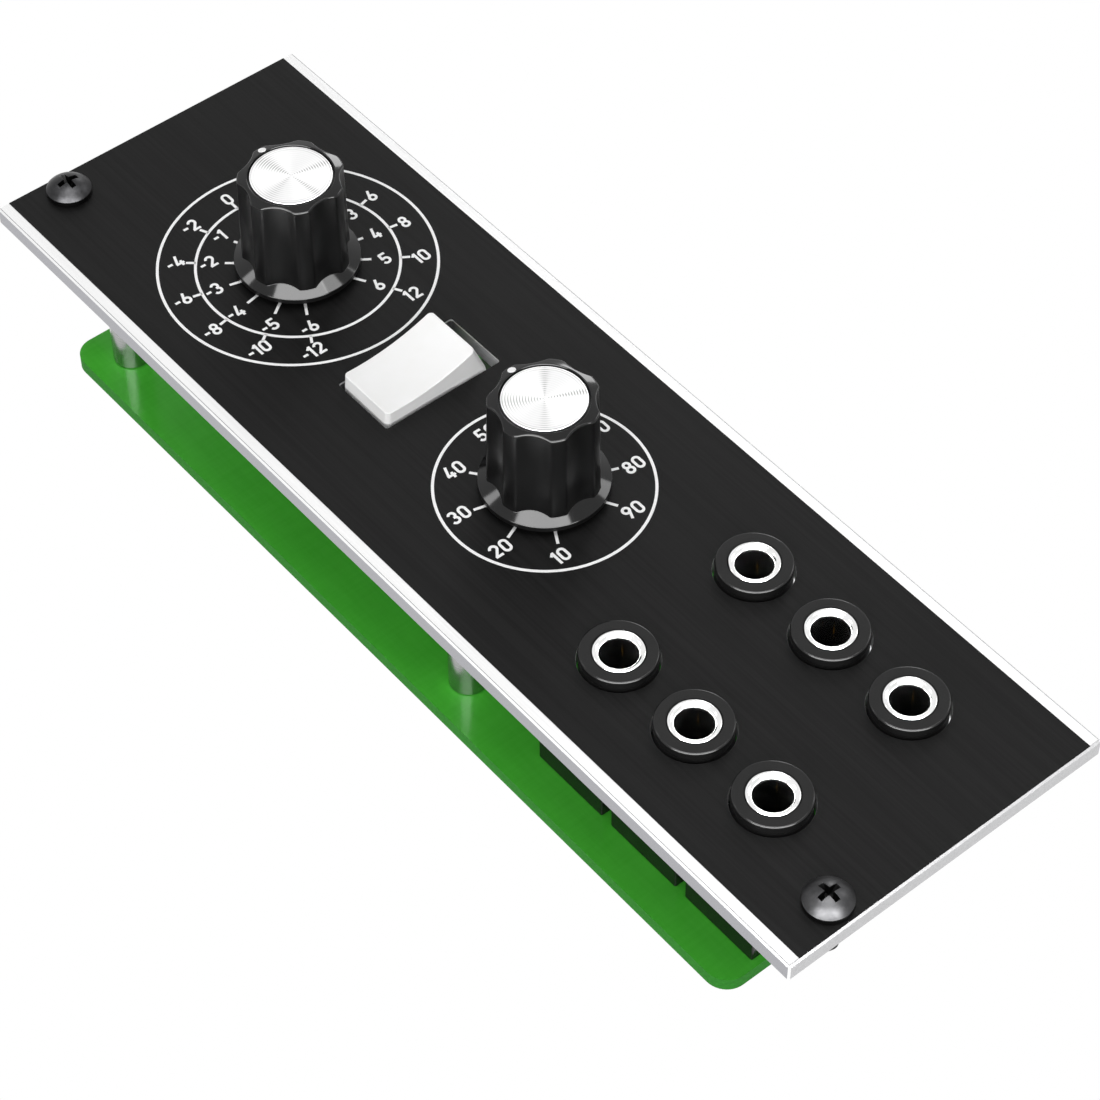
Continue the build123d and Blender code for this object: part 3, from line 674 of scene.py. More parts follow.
def screen_ink():
    """Screen-printed white ink: matt, with a slightly grainy film."""
    finish, tree, place = new_finish("white_screen_ink")
    film = mottled(tree, place, 0.12)
    show(tree, {
        "Base Color": layered(tree, "#f9f9f9", (film, "#ffffff")),
        "Roughness": 0.55,
        "Specular IOR Level": 0.3,
    }, film, 0.001)
    return finish


# Painted shade on the board beside the switch, a darker patch seen through the opening
BOARD_SHADE_PLACE = (15.3, 13.5, 23.2)
BOARD_SHADE_RADIUS = 0.9
BOARD_SHADE_FADE = 0.6


def solder_mask():
    """Green solder mask over fibreglass: a wet-looking film with the weave faintly under it."""
    finish, tree, place = new_finish("green_solder_mask")
    weave = node(tree, MATH, {
        0: streaked(tree, place, (0.5, 0.5, 6.0), 0.0, 0.5),
        1: streaked(tree, place, (6.0, 0.5, 0.5), 0.0, 0.5),
    }, operation="ADD")
    flat = facing(tree, "Y", 0.4, 0.6)
    away = node(tree, VECTOR, {0: place, 1: Vector(BOARD_SHADE_PLACE) * MM}, operation="DISTANCE")
    unshaded = node(tree, RANGE, {
        "Value": away, "From Min": BOARD_SHADE_RADIUS * MM, "From Max": (BOARD_SHADE_RADIUS + BOARD_SHADE_FADE) * MM,
    })
    edges = layered(tree, "#1d7413", (mottled(tree, place, 0.3), "#2a861f"))
    # painted shade: the faces turn dark green near the switch
    faces = layered(tree, "#21401a", (unshaded, layered(tree, "#3fa62e", (weave, "#48b036"))))
    show(tree, {
        "Base Color": layered(tree, edges, (flat, faces)),
        "Roughness": node(tree, MIX, {0: flat, 2: 0.7, 3: 0.17}),
        "Specular IOR Level": 0.18,
    }, weave, 0.0006)
    return finish


def bright_nickel():
    """Polished nickel plating: a mirror with the faintest turning marks."""
    finish, tree, place = new_finish("bright_nickel_plating")
    show(tree, {
        "Base Color": layered(tree, "#e9e9e8", (mottled(tree, place, 1.5), "#f4f4f4")),
        "Metallic": 1.0,
        "Roughness": mottled(tree, place, 0.8, 0.07, 0.13),
    }, mottled(tree, place, 0.25), 0.0003)
    return finish


def turned_nickel():
    """Nickel-plated turned brass, not polished: soft, a little darker than a mirror."""
    finish, tree, place = new_finish("turned_nickelled_brass")
    turning = streaked(tree, place, (3.0, 0.12, 3.0))
    show(tree, {
        "Base Color": layered(tree, "#9c9d9c", (turning, "#b2b3b2")),
        "Metallic": 1.0,
        "Roughness": mottled(tree, place, 1.0, 0.19, 0.23),
    }, turning, 0.0001)
    return finish


RACK_SCREW_X = -12.65
RACK_SCREW_Y = 61.25
RACK_HEAD_RADIUS = 2.5
RACK_RIM_HEIGHT = 0.7
RACK_HEAD_HEIGHT = 1.9
RACK_CROWN = RACK_HEAD_HEIGHT - RACK_RIM_HEIGHT
RACK_BALL = (RACK_HEAD_RADIUS**2 + RACK_CROWN**2) / (2 * RACK_CROWN)


def black_oxide():
    """Black-oxide steel: a satin dark skin, with painted shade that darkens the upper screw and blackens the
    sockets.
    """
    finish, tree, place = new_finish("black_oxide_steel")
    patches = mottled(tree, place, 0.6)
    where = node(tree, PARTS, {"Vector": place}).outputs
    # painted shade: black down in the cross sockets, found from depth under the dome
    beside = node(tree, "ShaderNodeCombineXYZ", {
        "X": where["X"], "Z": node(tree, MATH, {0: where["Z"]}, operation="ABSOLUTE"),
    })
    axis = (RACK_SCREW_X * MM, 0.0, RACK_SCREW_Y * MM)
    radius = node(tree, VECTOR, {0: beside, 1: axis}, operation="DISTANCE")
    fall = node(tree, MATH, {0: radius, 1: radius}, operation="MULTIPLY")
    rest = node(tree, MATH, {0: (RACK_BALL * MM)**2, 1: fall}, operation="SUBTRACT")
    dome = node(tree, MATH, {0: rest}, operation="SQRT")
    depth = node(tree, MATH, {0: dome, 1: where["Y"]}, operation="ADD")
    seat = RACK_HEAD_HEIGHT - RACK_BALL + PANEL_THICKNESS + COAT_THICKNESS
    socket_shade = node(tree, RANGE, {
        "Value": depth, "From Min": (0.04 - seat) * MM, "From Max": (0.12 - seat) * MM,
    })
    # painted shade: the upper screw's skin is darker
    upper_screw_shade = node(tree, MATH, {0: where["Z"], 1: 0.0}, operation="GREATER_THAN")
    upper_shaded_skin = layered(tree, "#2b2b2c", (patches, "#343435"))
    show(tree, {
        "Base Color": layered(
            tree, "#39393a", (patches, "#434344"), (upper_screw_shade, upper_shaded_skin), (socket_shade, "#1c1c1c"),
        ),
        "Metallic": 1.0,
        "Roughness": mottled(tree, place, 0.35, 0.34, 0.42),
    }, patches, 0.0015)
    return finish


# Painted reflection on each cap, in fans where light fans across it: degrees round the panel from +x, how narrow
# each fan is, how dark
CAP_PAINTED_FANS = {
    "upper": ((106.0, 26.0, 0.6), (-11.5, 130.0, 0.65), (-83.0, 130.0, 0.55), (-163.0, 40.0, 0.3)),
    "lower": ((50.0, 110.0, 0.5), (-26.7, 150.0, 0.8), (146.8, 16.0, 0.65), (-129.7, 70.0, 0.3)),
}


def spun_aluminium(name, centre):
    """Spun and lacquered aluminium: turning rings round the knob's axis, with painted reflection: dark ring lines,
    deeper in fans where light fans out and towards the rim.
    """
    finish, tree, place = new_finish(f"spun_aluminium_{name}")
    offset = node(tree, VECTOR, {0: place, 1: UPRIGHT @ Vector(centre)}, operation="SUBTRACT")
    level = node(tree, VECTOR, {0: offset, 1: (1.0, 0.0, 1.0)}, operation="MULTIPLY")
    radius = node(tree, VECTOR, {0: level}, operation="LENGTH")
    outward = node(tree, VECTOR, {0: level}, operation="NORMALIZE")
    fans = 0.0
    for turn, narrowness, strength in CAP_PAINTED_FANS[name]:
        ray = (cos(radians(turn)), 0.0, sin(radians(turn)))
        share = node(tree, VECTOR, {0: outward, 1: ray}, operation="DOT_PRODUCT")
        share = node(tree, MATH, {0: share, 1: 0.0}, operation="MAXIMUM")
        share = node(tree, MATH, {0: share, 1: narrowness}, operation="POWER")
        fan = node(tree, MATH, {0: share, 1: strength}, operation="MULTIPLY")
        fans = node(tree, MATH, {0: fans, 1: fan}, operation="MAXIMUM")
    wave = node(tree, MATH, {0: radius, 1: 2 * pi / (CAP_RING_PITCH * MM)}, operation="MULTIPLY")
    wave = node(tree, MATH, {0: wave}, operation="COSINE")
    # painted reflection: dark ring lines, deeper in the fans and near the rim
    rings = node(tree, RANGE, {"Value": wave, "From Min": 0.5, "From Max": -0.6})
    rim = node(tree, RANGE, {
        "Value": radius, "From Min": 3.6 * MM, "From Max": 4.4 * MM, "To Min": 0.0, "To Max": 0.5,
    })
    everywhere = node(tree, MATH, {0: fans, 1: 0.06}, operation="ADD")
    depth = node(tree, MATH, {0: everywhere, 1: rim}, operation="MAXIMUM")
    show(tree, {
        "Base Color": layered(tree, "#f4f4f4", (where_all(tree, rings, depth), "#787877")),
        "Metallic": 1.0,
        "Roughness": 0.30,
        "Anisotropic": 0.6,
        "Tangent": node(tree, "ShaderNodeTangent", direction_type="RADIAL", axis="Y"),
    })
    return finish


ROCKER_TILT = radians(8.84)
# The level of the panel's face, over which the key's painted shade fades out
GAP_SHADE_START = -2.1
GAP_SHADE_END = -1.95


def moulded_nylon():
    """White moulded nylon: glossy, with painted shade where the key stays below the panel's face at both tilts."""
    finish, tree, place = new_finish("white_moulded_nylon")
    where = node(tree, PARTS, {"Vector": place}).outputs
    swing = 2 * ROCKER_TILT
    turned = (-sin(swing), cos(swing), 0.0)
    tilted = node(tree, VECTOR, {0: place, 1: turned}, operation="DOT_PRODUCT")
    shift = -JOINT_PLACES["rocker_tilt"].z * MM * (1 - cos(swing))
    tilted = node(tree, MATH, {0: tilted, 1: shift}, operation="ADD")
    lowest = node(tree, MATH, {0: where["Y"], 1: tilted}, operation="MINIMUM")
    # painted shade: grey where the key sits down in the opening
    gap_shade = node(tree, RANGE, {"Value": lowest, "From Min": GAP_SHADE_START * MM, "From Max": GAP_SHADE_END * MM})
    show(tree, {
        "Base Color": layered(tree, "#f9f9f8", (mottled(tree, place, 3.0), "#fdfdfd"), (gap_shade, "#d0d0d0")),
        "Roughness": mottled(tree, place, 1.0, 0.30, 0.36),
        "Specular IOR Level": 0.30,
    }, mottled(tree, place, 0.3), 0.0006)
    return finish


FINISHES = {
    "panel_metal": bare_aluminium(),
    "panel_black": satin_coat(),
    "white_print": screen_ink(),
    "rack_screw": black_oxide(),
    "board_green": solder_mask(),
    "bright_plating": bright_nickel(),
    "turned_plating": turned_nickel(),
    "zinc_screw": sheet_metal("zinc_plated_steel", "#b4b6b4", "#cfd0cd", (0.4, 0.4, 0.4), 0.28),
    "pot_case": sheet_metal("tinned_sheet_steel", "#a5a6a5", "#bfc0be", (0.3, 0.3, 3.0), 0.30),
    "pot_track": moulded_plastic("phenolic_plate", "#4a2716", "#5c3320", 0.2, 0.5, 0.4),
    "pot_bushing": sheet_metal("nickelled_brass", "#cfc8b4", "#e0dacb", (0.4, 0.1, 0.4), 0.22),
    "shaft_metal": sheet_metal("turned_aluminium", "#c9c9c8", "#dededd", (0.5, 0.08, 0.5), 0.26),
    "contact_brass": sheet_metal("spring_brass", "#b98f45", "#d3ab60", (0.2, 0.8, 0.2), 0.28),
    "tinned_leads": sheet_metal("tinned_copper", "#b3b4b3", "#cacbc9", (0.5, 0.5, 0.5), 0.30),
    "knob_black": knob_plastic(),
    "rocker_white": moulded_nylon(),
    "switch_black": moulded_plastic("black_moulded_nylon", "#101010", "#1a1a1a", 0.25, 0.5, 0.3),
    "jack_black": moulded_plastic("satin_black_pbt", "#0e0e0e", "#151515", 0.22, 0.18, 0.33),
    "header_black": moulded_plastic("black_glass_filled_pbt", "#121212", "#1f1f1f", 0.3, 0.48, 0.32),
    "header_gold": sheet_metal("gold_flashed_brass", "#d8ad55", "#ecc878", (0.3, 0.8, 0.3), 0.2),
    "chip_black": moulded_plastic("moulded_epoxy", "#161617", "#232324", 0.12, 0.6, 0.35),
    "can_metal": sheet_metal("drawn_aluminium_can", "#c4c4c4", "#d9d9d8", (0.5, 1.5, 0.5), 0.24),
    "spring_steel": sheet_metal("spring_steel_wire", "#8d8e90", "#a6a7a8", (0.2, 0.2, 0.2), 0.3),
}


def paint_kept_nodes():
    """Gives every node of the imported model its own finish."""
    for part in frame["record"]["subparts"]:
        mesh = nodes[part["node"]].data
        finish = FINISHES.get(part["material_slot"], FINISHES["can_metal"])
        mesh.materials.clear()
        mesh.materials.append(finish)


# Knobs
KNOB_GAP = 0.7
KNOB_TOP = 13.05
SKIRT_RADIUS = 6.85
SKIRT_EDGE = 1.38
SKIRT_EDGE_ROUND = 0.12
SKIRT_BEVEL = radians(26.6)
KNOB_FOOT_RADIUS = 5.95
KNOB_DRAFT = radians(0.95)
FLUTES = 7
FLUTE_RADIUS = 4.2
FLUTE_DEPTH = 0.65
FLUTE_SOFTNESS = 0.10
FLUTE_SIDES = 40
RIM_WIDTH = 1.15
RIM_SLOPE = radians(14.6)
RIM_INNER_RADIUS = KNOB_FOOT_RADIUS - (KNOB_TOP - KNOB_GAP) * tan(KNOB_DRAFT) - RIM_WIDTH
CAP_GROOVE = 0.2
CAP_RADIUS = RIM_INNER_RADIUS - CAP_GROOVE
CAP_DROP = 0.05
CAP_THICKNESS = 0.5
# The real rings are about 0.2 mm apart, too fine to draw, so they are spaced a little wider
CAP_RING_PITCH = 0.29
CAP_RING_DEPTH = 0.006
KNOB_RECESS_RADIUS = 5.5
KNOB_RECESS_DEPTH = 0.8
KNOB_BORE_RADIUS = 3.02
KNOB_RECESS_ROUND = 0.06
SKIRT_FOOT_ROUND = 0.1
SKIRT_RIM_ROUND = 0.14
GRIP_FOOT_FILLET = 0.09
GRIP_TOP_ROUND = 0.24
RIM_INNER_ROUND = 0.12
POINTER_DEPTH = 0.5
POINTER_ROUND = 0.03
POINTER_RADIUS = 0.44
POINTER_DISTANCE = RIM_INNER_RADIUS + 0.52
POINTER_PROUD = 0.03


def grip_radius(z, turn):
    """The grip's radius at a height and an angle, its seven flutes included."""
    lean = (z - KNOB_GAP) * tan(KNOB_DRAFT)
    wall = KNOB_FOOT_RADIUS - lean
    step = 2 * pi / FLUTES
    aside = (turn - pi / 2) % step - step / 2
    distance = KNOB_FOOT_RADIUS - FLUTE_DEPTH + FLUTE_RADIUS - lean
    reach = FLUTE_RADIUS**2 - (distance * sin(aside))**2
    if reach <= 0:
        return wall
    hollow = distance * cos(aside) - sqrt(reach)
    return (wall + hollow - hypot(wall - hollow, FLUTE_SOFTNESS)) / 2


def bevel_height(radius):
    """The height of the skirt's bevel at a radius."""
    return SKIRT_EDGE + (SKIRT_RADIUS - SKIRT_EDGE_ROUND - radius) * tan(SKIRT_BEVEL)


def rim_height(radius):
    """The height of the top's sloping rim at a radius."""
    return KNOB_TOP - (radius - RIM_INNER_RADIUS) * tan(RIM_SLOPE)


def knob_profile(turn):
    foot = grip_radius(bevel_height(KNOB_FOOT_RADIUS), turn)
    foot = grip_radius(bevel_height(foot), turn)
    top = grip_radius(rim_height(grip_radius(KNOB_TOP, turn)), turn)
    floor = KNOB_TOP - CAP_DROP - CAP_THICKNESS
    return eased([
        (KNOB_BORE_RADIUS, KNOB_GAP + KNOB_RECESS_DEPTH, 0),
        (KNOB_RECESS_RADIUS, KNOB_GAP + KNOB_RECESS_DEPTH, 0),
        (KNOB_RECESS_RADIUS, KNOB_GAP, KNOB_RECESS_ROUND),
        (SKIRT_RADIUS, KNOB_GAP, SKIRT_FOOT_ROUND),
        (SKIRT_RADIUS, bevel_height(SKIRT_RADIUS), SKIRT_RIM_ROUND),
        (foot, bevel_height(foot), GRIP_FOOT_FILLET),
        (top, rim_height(top), GRIP_TOP_ROUND),
        (RIM_INNER_RADIUS, KNOB_TOP, RIM_INNER_ROUND),
        (RIM_INNER_RADIUS, floor, 0),
        (0, floor, 0),
    ])


def cap_profile():
    """A disc with fine turning rings on its face."""
    high = KNOB_TOP - CAP_DROP
    outline = [(0, high - CAP_THICKNESS), (CAP_RADIUS, high - CAP_THICKNESS)]
    outline += [(CAP_RADIUS, high - CAP_DROP), (CAP_RADIUS - CAP_DROP, high)]
    rings = int((CAP_RADIUS - 2 * CAP_DROP) / CAP_RING_PITCH)
    for ring in range(rings, 0, -1):
        outline.append((ring * CAP_RING_PITCH, high))
        outline.append(((ring - 0.5) * CAP_RING_PITCH, high - CAP_RING_DEPTH))
    return [*outline, (0, high)]


def add_knob(name, y):
    body = f"{name}_knob"
    black = FINISHES["knob_black"]
    grip = moved(spun(knob_profile, FLUTES * FLUTE_SIDES), y=y)
    dress(f"{name}_knob_grip", grip, black, body, "knob_black", f"{name}_knob_body", sharp=50)
    cap = moved(lathe(cap_profile(), 160), y=y)
    finish = spun_aluminium(name, (0, y, KNOB_TOP))
    dress(f"{name}_spun_cap", cap, finish, body, "knob_cap", f"{name}_knob_cap", sharp=60)
    dot = lathe(eased([
        (0, -POINTER_DEPTH, 0), (POINTER_RADIUS, -POINTER_DEPTH, 0),
        (POINTER_RADIUS, POINTER_PROUD, POINTER_ROUND), (0, POINTER_PROUD, 0),
    ]), 40)
    dot.transform(Matrix.Rotation(-RIM_SLOPE, 4, "X"))
    dot = moved(dot, y=y + POINTER_DISTANCE, z=rim_height(POINTER_DISTANCE))
    white = FINISHES["white_print"]
    dress(f"{name}_pointer_dot", dot, white, body, "white_print", f"{name}_knob_pointer")


# Dials
LINE_WIDTH = 0.31
TURN = radians(150.0)
OUTER_RING = 15.15
INNER_RING = 11.05
LOWER_RING = 11.4
RING_TICK_LENGTH = 1.05
KNOB_TICK_START = 6.2
KNOB_TICK_END = 7.9
UPPER_MARKS = 13
LOWER_MARKS = 9
RING_SIDES = 256


def printed_ring(radius, y):
    outline = [
        (radius - LINE_WIDTH / 2, COAT_THICKNESS), (radius + LINE_WIDTH / 2, COAT_THICKNESS),
        (radius + LINE_WIDTH / 2, PRINT_LEVEL), (radius - LINE_WIDTH / 2, PRINT_LEVEL),
        (radius - LINE_WIDTH / 2, COAT_THICKNESS),
    ]
    return moved(lathe(outline, RING_SIDES), y=y)


def marks(count, start, end, y):
    middle = COAT_THICKNESS + PRINT_THICKNESS / 2
    return grown(
        MARKS, Count=count, Sweep=2 * TURN, Radius=(start + end) / 2, Length=end - start, Width=LINE_WIDTH,
        Thickness=PRINT_THICKNESS, Centre=(0, y, middle), Finish=FINISHES["white_print"],
    )


# Figures for the dials, as strokes on a cap height of 1
FIGURE_HEIGHT = 1.73
STROKE_SHARE = 0.172
FIGURE_WIDTH_SHARES = {"1": 0.30, "-": 0.34}
FIGURE_WIDTH_SHARE = 0.60
FIGURE_GAP_SHARE = 0.135


def bend(x, y, across, up, first, last, steps=16):
    """Points on an elliptic arc about (x, y), from one angle in degrees to another."""
    turns = [radians(first + (last - first) * i / steps) for i in range(steps + 1)]
    return [(x + across * cos(turn), y + up * sin(turn)) for turn in turns]


FIGURE_STROKES = {
    "0": [[
        (0.522, 0.30), *bend(0.30, 0.70, 0.222, 0.222, 0, 180), *bend(0.30, 0.30, 0.222, 0.222, 180, 360),
    ]],
    "1": [[(0.222, 0.0), (0.222, 1.0)], [(0.02, 0.745), (0.20, 0.915)]],
    "2": [
        bend(0.30, 0.70, 0.222, 0.222, 170, -30) + [(0.115, 0.10)],
        [(0.035, 0.078), (0.575, 0.078)],
    ],
    "3": [bend(0.285, 0.712, 0.205, 0.210, 160, -90), bend(0.285, 0.30, 0.235, 0.222, 90, -160)],
    "4": [[(0.36, 0.985), (0.085, 0.235)], [(0.03, 0.245), (0.60, 0.245)], [(0.43, 0.47), (0.43, 0.0)]],
    "5": [
        [(0.55, 0.922), (0.12, 0.922)], [(0.135, 0.96), (0.118, 0.44)],
        bend(0.29, 0.31, 0.235, 0.232, 142, -160),
    ],
    "6": [bend(0.30, 0.30, 0.222, 0.222, 0, 360), [(0.105, 0.36), (0.36, 0.985)]],
    "7": [[(0.03, 0.922), (0.575, 0.922)], [(0.50, 0.96), (0.20, 0.0)]],
    "8": [bend(0.30, 0.715, 0.195, 0.207, 0, 360), bend(0.30, 0.298, 0.225, 0.220, 0, 360)],
    "9": [bend(0.30, 0.70, 0.222, 0.222, 0, 360), [(0.495, 0.64), (0.24, 0.015)]],
    "-": [[(0.0, 0.47), (0.34, 0.47)]],
}


def ribbon(points):
    """A flat band along a stroke, as a closed solid of the print's thickness."""
    half = STROKE_SHARE / 2
    closed = len(points) > 2 and (Vector(points[0]) - Vector(points[-1])).length < 1e-6
    line = [Vector(point) for point in (points[:-1] if closed else points)]
    line = [point for i, point in enumerate(line) if i == 0 or (point - line[i - 1]).length > 1e-6]
    count = len(line)
    build = bmesh.new()
    rows = []
    for i, here in enumerate(line):
        ahead = line[(i + 1) % count] if closed or i < count - 1 else here + here - line[i - 1]
        behind = line[i - 1] if closed or i > 0 else here + here - ahead
        first, second = (here - behind).normalized(), (ahead - here).normalized()
        aside = Vector((-(first + second).y, (first + second).x)).normalized()
        reach = half / max(aside.dot(Vector((-first.y, first.x))), 0.5)
        edges = [here + aside * reach, here - aside * reach]
        rows.append([build.verts.new((*edge, level)) for level in (0.0, 1.0) for edge in edges])
    spans = range(count) if closed else range(count - 1)
    for i in spans:
        a, b = rows[i], rows[(i + 1) % count]
        for p, q in ((0, 1), (1, 3), (3, 2), (2, 0)):
            build.faces.new((a[p], a[q], b[q], b[p]))
    if not closed:
        build.faces.new([rows[0][k] for k in (0, 1, 3, 2)])
        build.faces.new([rows[-1][k] for k in (0, 2, 3, 1)])
    return as_mesh(build)


def figure(sign):
    """One figure at its real height, standing on the coat."""
    strokes = [ribbon(points) for points in FIGURE_STROKES[sign]]
    shape = cut(strokes[0], *strokes[1:], operation="UNION") if len(strokes) > 1 else strokes[0]
    shape.transform(Matrix.Diagonal((FIGURE_HEIGHT, FIGURE_HEIGHT, PRINT_THICKNESS, 1)))
    shape.transform(Matrix.Translation((0, -FIGURE_HEIGHT / 2, COAT_THICKNESS)))
    return shape


FIGURES = {sign: figure(sign) for sign in FIGURE_STROKES}


def number(text, dial, distance, turn):
    """A number's figures, at a distance from a dial's centre and an angle from its top."""
    widths = [FIGURE_WIDTH_SHARES.get(sign, FIGURE_WIDTH_SHARE) for sign in text]
    total = sum(widths) + FIGURE_GAP_SHARE * (len(text) - 1)
    start = -total / 2
    pieces = []
    for sign, width in zip(text, widths):
        shape = FIGURES[sign].copy()
        shape.transform(Matrix.Translation((start * FIGURE_HEIGHT, 0, 0)))
        pieces.append(moved(shape, distance * sin(turn), DIALS[dial] + distance * cos(turn)))
        start += width + FIGURE_GAP_SHARE
    return joined(*pieces)


# How far each kind of number stands from its dial's centre
OUTER_DISTANCE = 13.3
OUTER_SINGLE_DISTANCE = 12.95
INNER_MINUS_DISTANCE = 9.75
INNER_PLUS_DISTANCE = 9.35
LOWER_DISTANCE = 9.5


def dial_numbers():
    pieces = []
    step = 2 * TURN / (UPPER_MARKS - 1)
    middle = UPPER_MARKS // 2
    for i in range(UPPER_MARKS):
        turn = (i - middle) * step
        outer, inner = 2 * (i - middle), i - middle
        distance = OUTER_SINGLE_DISTANCE if 0 <= outer < 10 else OUTER_DISTANCE
        pieces.append(number(str(outer), "upper", distance, turn))
        distance = INNER_MINUS_DISTANCE if inner < 0 else INNER_PLUS_DISTANCE
        pieces.append(number(str(inner), "upper", distance, turn))
    step = 2 * TURN / (LOWER_MARKS - 1)
    for i in range(LOWER_MARKS):
        pieces.append(number(str(10 * (i + 1)), "lower", LOWER_DISTANCE, i * step - TURN))
    return joined(*pieces)


def add_dials():
    upper, lower = DIALS["upper"], DIALS["lower"]
    white = FINISHES["white_print"]
    rings = joined(
        printed_ring(OUTER_RING, upper), printed_ring(INNER_RING, upper), printed_ring(LOWER_RING, lower)
    )
    dress("dial_rings", rings, white, "module", "white_print", "scale_print")
    ticks = joined(
        marks(UPPER_MARKS, INNER_RING, INNER_RING + RING_TICK_LENGTH, upper),
        marks(UPPER_MARKS, KNOB_TICK_START, KNOB_TICK_END, upper),
        marks(LOWER_MARKS, KNOB_TICK_START, KNOB_TICK_END, lower),
    )
    dress("dial_marks", ticks, white, "module", "white_print")
    dress("dial_numbers", dial_numbers(), white, "module", "white_print")


# Screws
RACK_NECK_RADIUS = 1.2
RACK_NECK_LENGTH = 2.15
RACK_THREAD_RADIUS = 1.5
RACK_SCREW_LENGTH = 6.0
RACK_THREAD_PITCH = 0.5
RACK_THREAD_DEPTH = 0.28
THREAD_ROWS = 8
THREAD_LEAD_IN = 0.15
THREAD_CHAMFER = 0.12
BOARD_HEAD_RADIUS = 2.25
BOARD_HEAD_HEIGHT = 1.5
CROSS_LENGTH = 2.7
CROSS_WIDTH = 0.62
CROSS_DEPTH = 1.2
CROSS_CLEARANCE = 0.2
CROSS_MOUTH = 1.12
CROSS_FLOOR = 0.42
CROSS_TAPER = 0.25


def pan_head(radius, rim, height, foot_radius, steps=16):
    """A pan head: a low upright rim under a spherical crown, listed from the foot to the top."""
    crown = height - rim
    ball = (radius**2 + crown**2) / (2 * crown)
    half = atan2(radius, ball - crown)
    dome = []
    for i in range(steps + 1):
        turn = half * (1 - i / steps)
        dome.append((ball * sin(turn), height - ball + ball * cos(turn)))
    dome[-1] = (0, height)
    edge = eased([(foot_radius, 0, 0), (radius, 0, 0.12), (radius, rim, 0), (0, rim, 0)], 3)
    return [*edge[:-2], *dome]


def cross_bar(height, turn):
    """One tapered bar of the cross-shaped socket."""
    build = bmesh.new()
    rows = []
    for share, level in ((CROSS_MOUTH, height + CROSS_CLEARANCE), (CROSS_FLOOR, height - CROSS_DEPTH)):
        long = share * CROSS_LENGTH / 2
        wide = (1 - CROSS_TAPER + CROSS_TAPER * share) * CROSS_WIDTH / 2
        corners = ((-long, -wide), (long, -wide), (long, wide), (-long, wide))
        rows.append([build.verts.new((x, y, level)) for x, y in corners])
    close_between(build, *rows)
    mesh = as_mesh(build)
    mesh.transform(Matrix.Rotation(turn, 4, "Z"))
    return mesh


def softened(mesh, width, steps=2, angle=50):
    """A mesh with its sharp edges broken."""
    item = link(bpy.data.objects.new("softened", mesh))
    step = item.modifiers.new("edges", "BEVEL")
    step.width = width
    step.segments = steps
    step.limit_method = "ANGLE"
    step.angle_limit = radians(angle)
    return settled(item)


def threaded(radius, pitch, low, high, depth, bore=0.0, sides=48):
    """A rod or tube with a helical thread, closed at both ends."""
    rows = THREAD_ROWS * int((high - low) / pitch)

    def profile(turn):
        outline = [(bore, low)]
        for row in range(rows + 1):
            z = low + (high - low) * row / rows
            phase = ((z - low) / pitch - turn / (2 * pi)) % 1
            fade = min(1.0, (z - low) / THREAD_LEAD_IN, (high - z) / pitch)
            groove = depth * abs(2 * phase - 1) * fade
            outline.append((radius - groove - THREAD_CHAMFER * (1 - fade), z))
        outline.append((bore, high))
        return [*outline, (bore, low)] if bore else outline

    return spun(profile, sides)


def screw_head(outline, height, sides, edge):
    """A turned head with a cross-shaped socket and broken edges."""
    head = cut(lathe(outline, sides), cross_bar(height, 0), cross_bar(height, pi / 2))
    return softened(head, edge)


def add_rack_screws():
    outline = pan_head(RACK_HEAD_RADIUS, RACK_RIM_HEIGHT, RACK_HEAD_HEIGHT, RACK_NECK_RADIUS)
    outline = [(0, -RACK_NECK_LENGTH), (RACK_NECK_RADIUS, -RACK_NECK_LENGTH), *outline]
    head = screw_head(outline, RACK_HEAD_HEIGHT, 96, 0.035)
    thread = threaded(
        RACK_THREAD_RADIUS, RACK_THREAD_PITCH, -RACK_SCREW_LENGTH, -RACK_NECK_LENGTH, RACK_THREAD_DEPTH,
    )
    places = [(RACK_SCREW_X, side * RACK_SCREW_Y, COAT_THICKNESS, 0) for side in (1, -1)]
    add_copies("rack_screws", joined(head, thread), places, "rack_screw", "panel_screws")


STANDOFF_LOW, STANDOFF_HIGH = panel_box("board_standoffs")
STANDOFF_RADIUS = 2.1
STANDOFF_ROUND = 0.18
BOARD_SCREW_TURNS = (0.35, 1.1, 0.8, 0.1)
STANDOFF_PLACES = [
    (x, y)
    for y in (STANDOFF_HIGH.y - STANDOFF_RADIUS, STANDOFF_LOW.y + STANDOFF_RADIUS)
    for x in (STANDOFF_LOW.x + STANDOFF_RADIUS, STANDOFF_HIGH.x - STANDOFF_RADIUS)
]


def add_standoffs():
    post = lathe(eased([
        (0, BOARD_FACE, 0), (STANDOFF_RADIUS, BOARD_FACE, STANDOFF_ROUND),
        (STANDOFF_RADIUS, -PANEL_THICKNESS, STANDOFF_ROUND), (0, -PANEL_THICKNESS, 0),
    ]), 64)
    places = [(x, y, 0, 0) for x, y in STANDOFF_PLACES]
    add_copies("standoff_posts", post, places, "bright_plating", "board_standoffs", finish="turned_plating")
    outline = pan_head(BOARD_HEAD_RADIUS, BOARD_HEAD_HEIGHT / 2, BOARD_HEAD_HEIGHT, 0)
    head = screw_head(outline, BOARD_HEAD_HEIGHT, 64, 0.03)
    head.transform(Matrix.Rotation(pi, 4, "X"))
    places = [(x, y, BOARD_BACK, turn) for (x, y), turn in zip(STANDOFF_PLACES, BOARD_SCREW_TURNS)]
    add_copies("board_screw_heads", head, places, "zinc_screw", "board_screws")


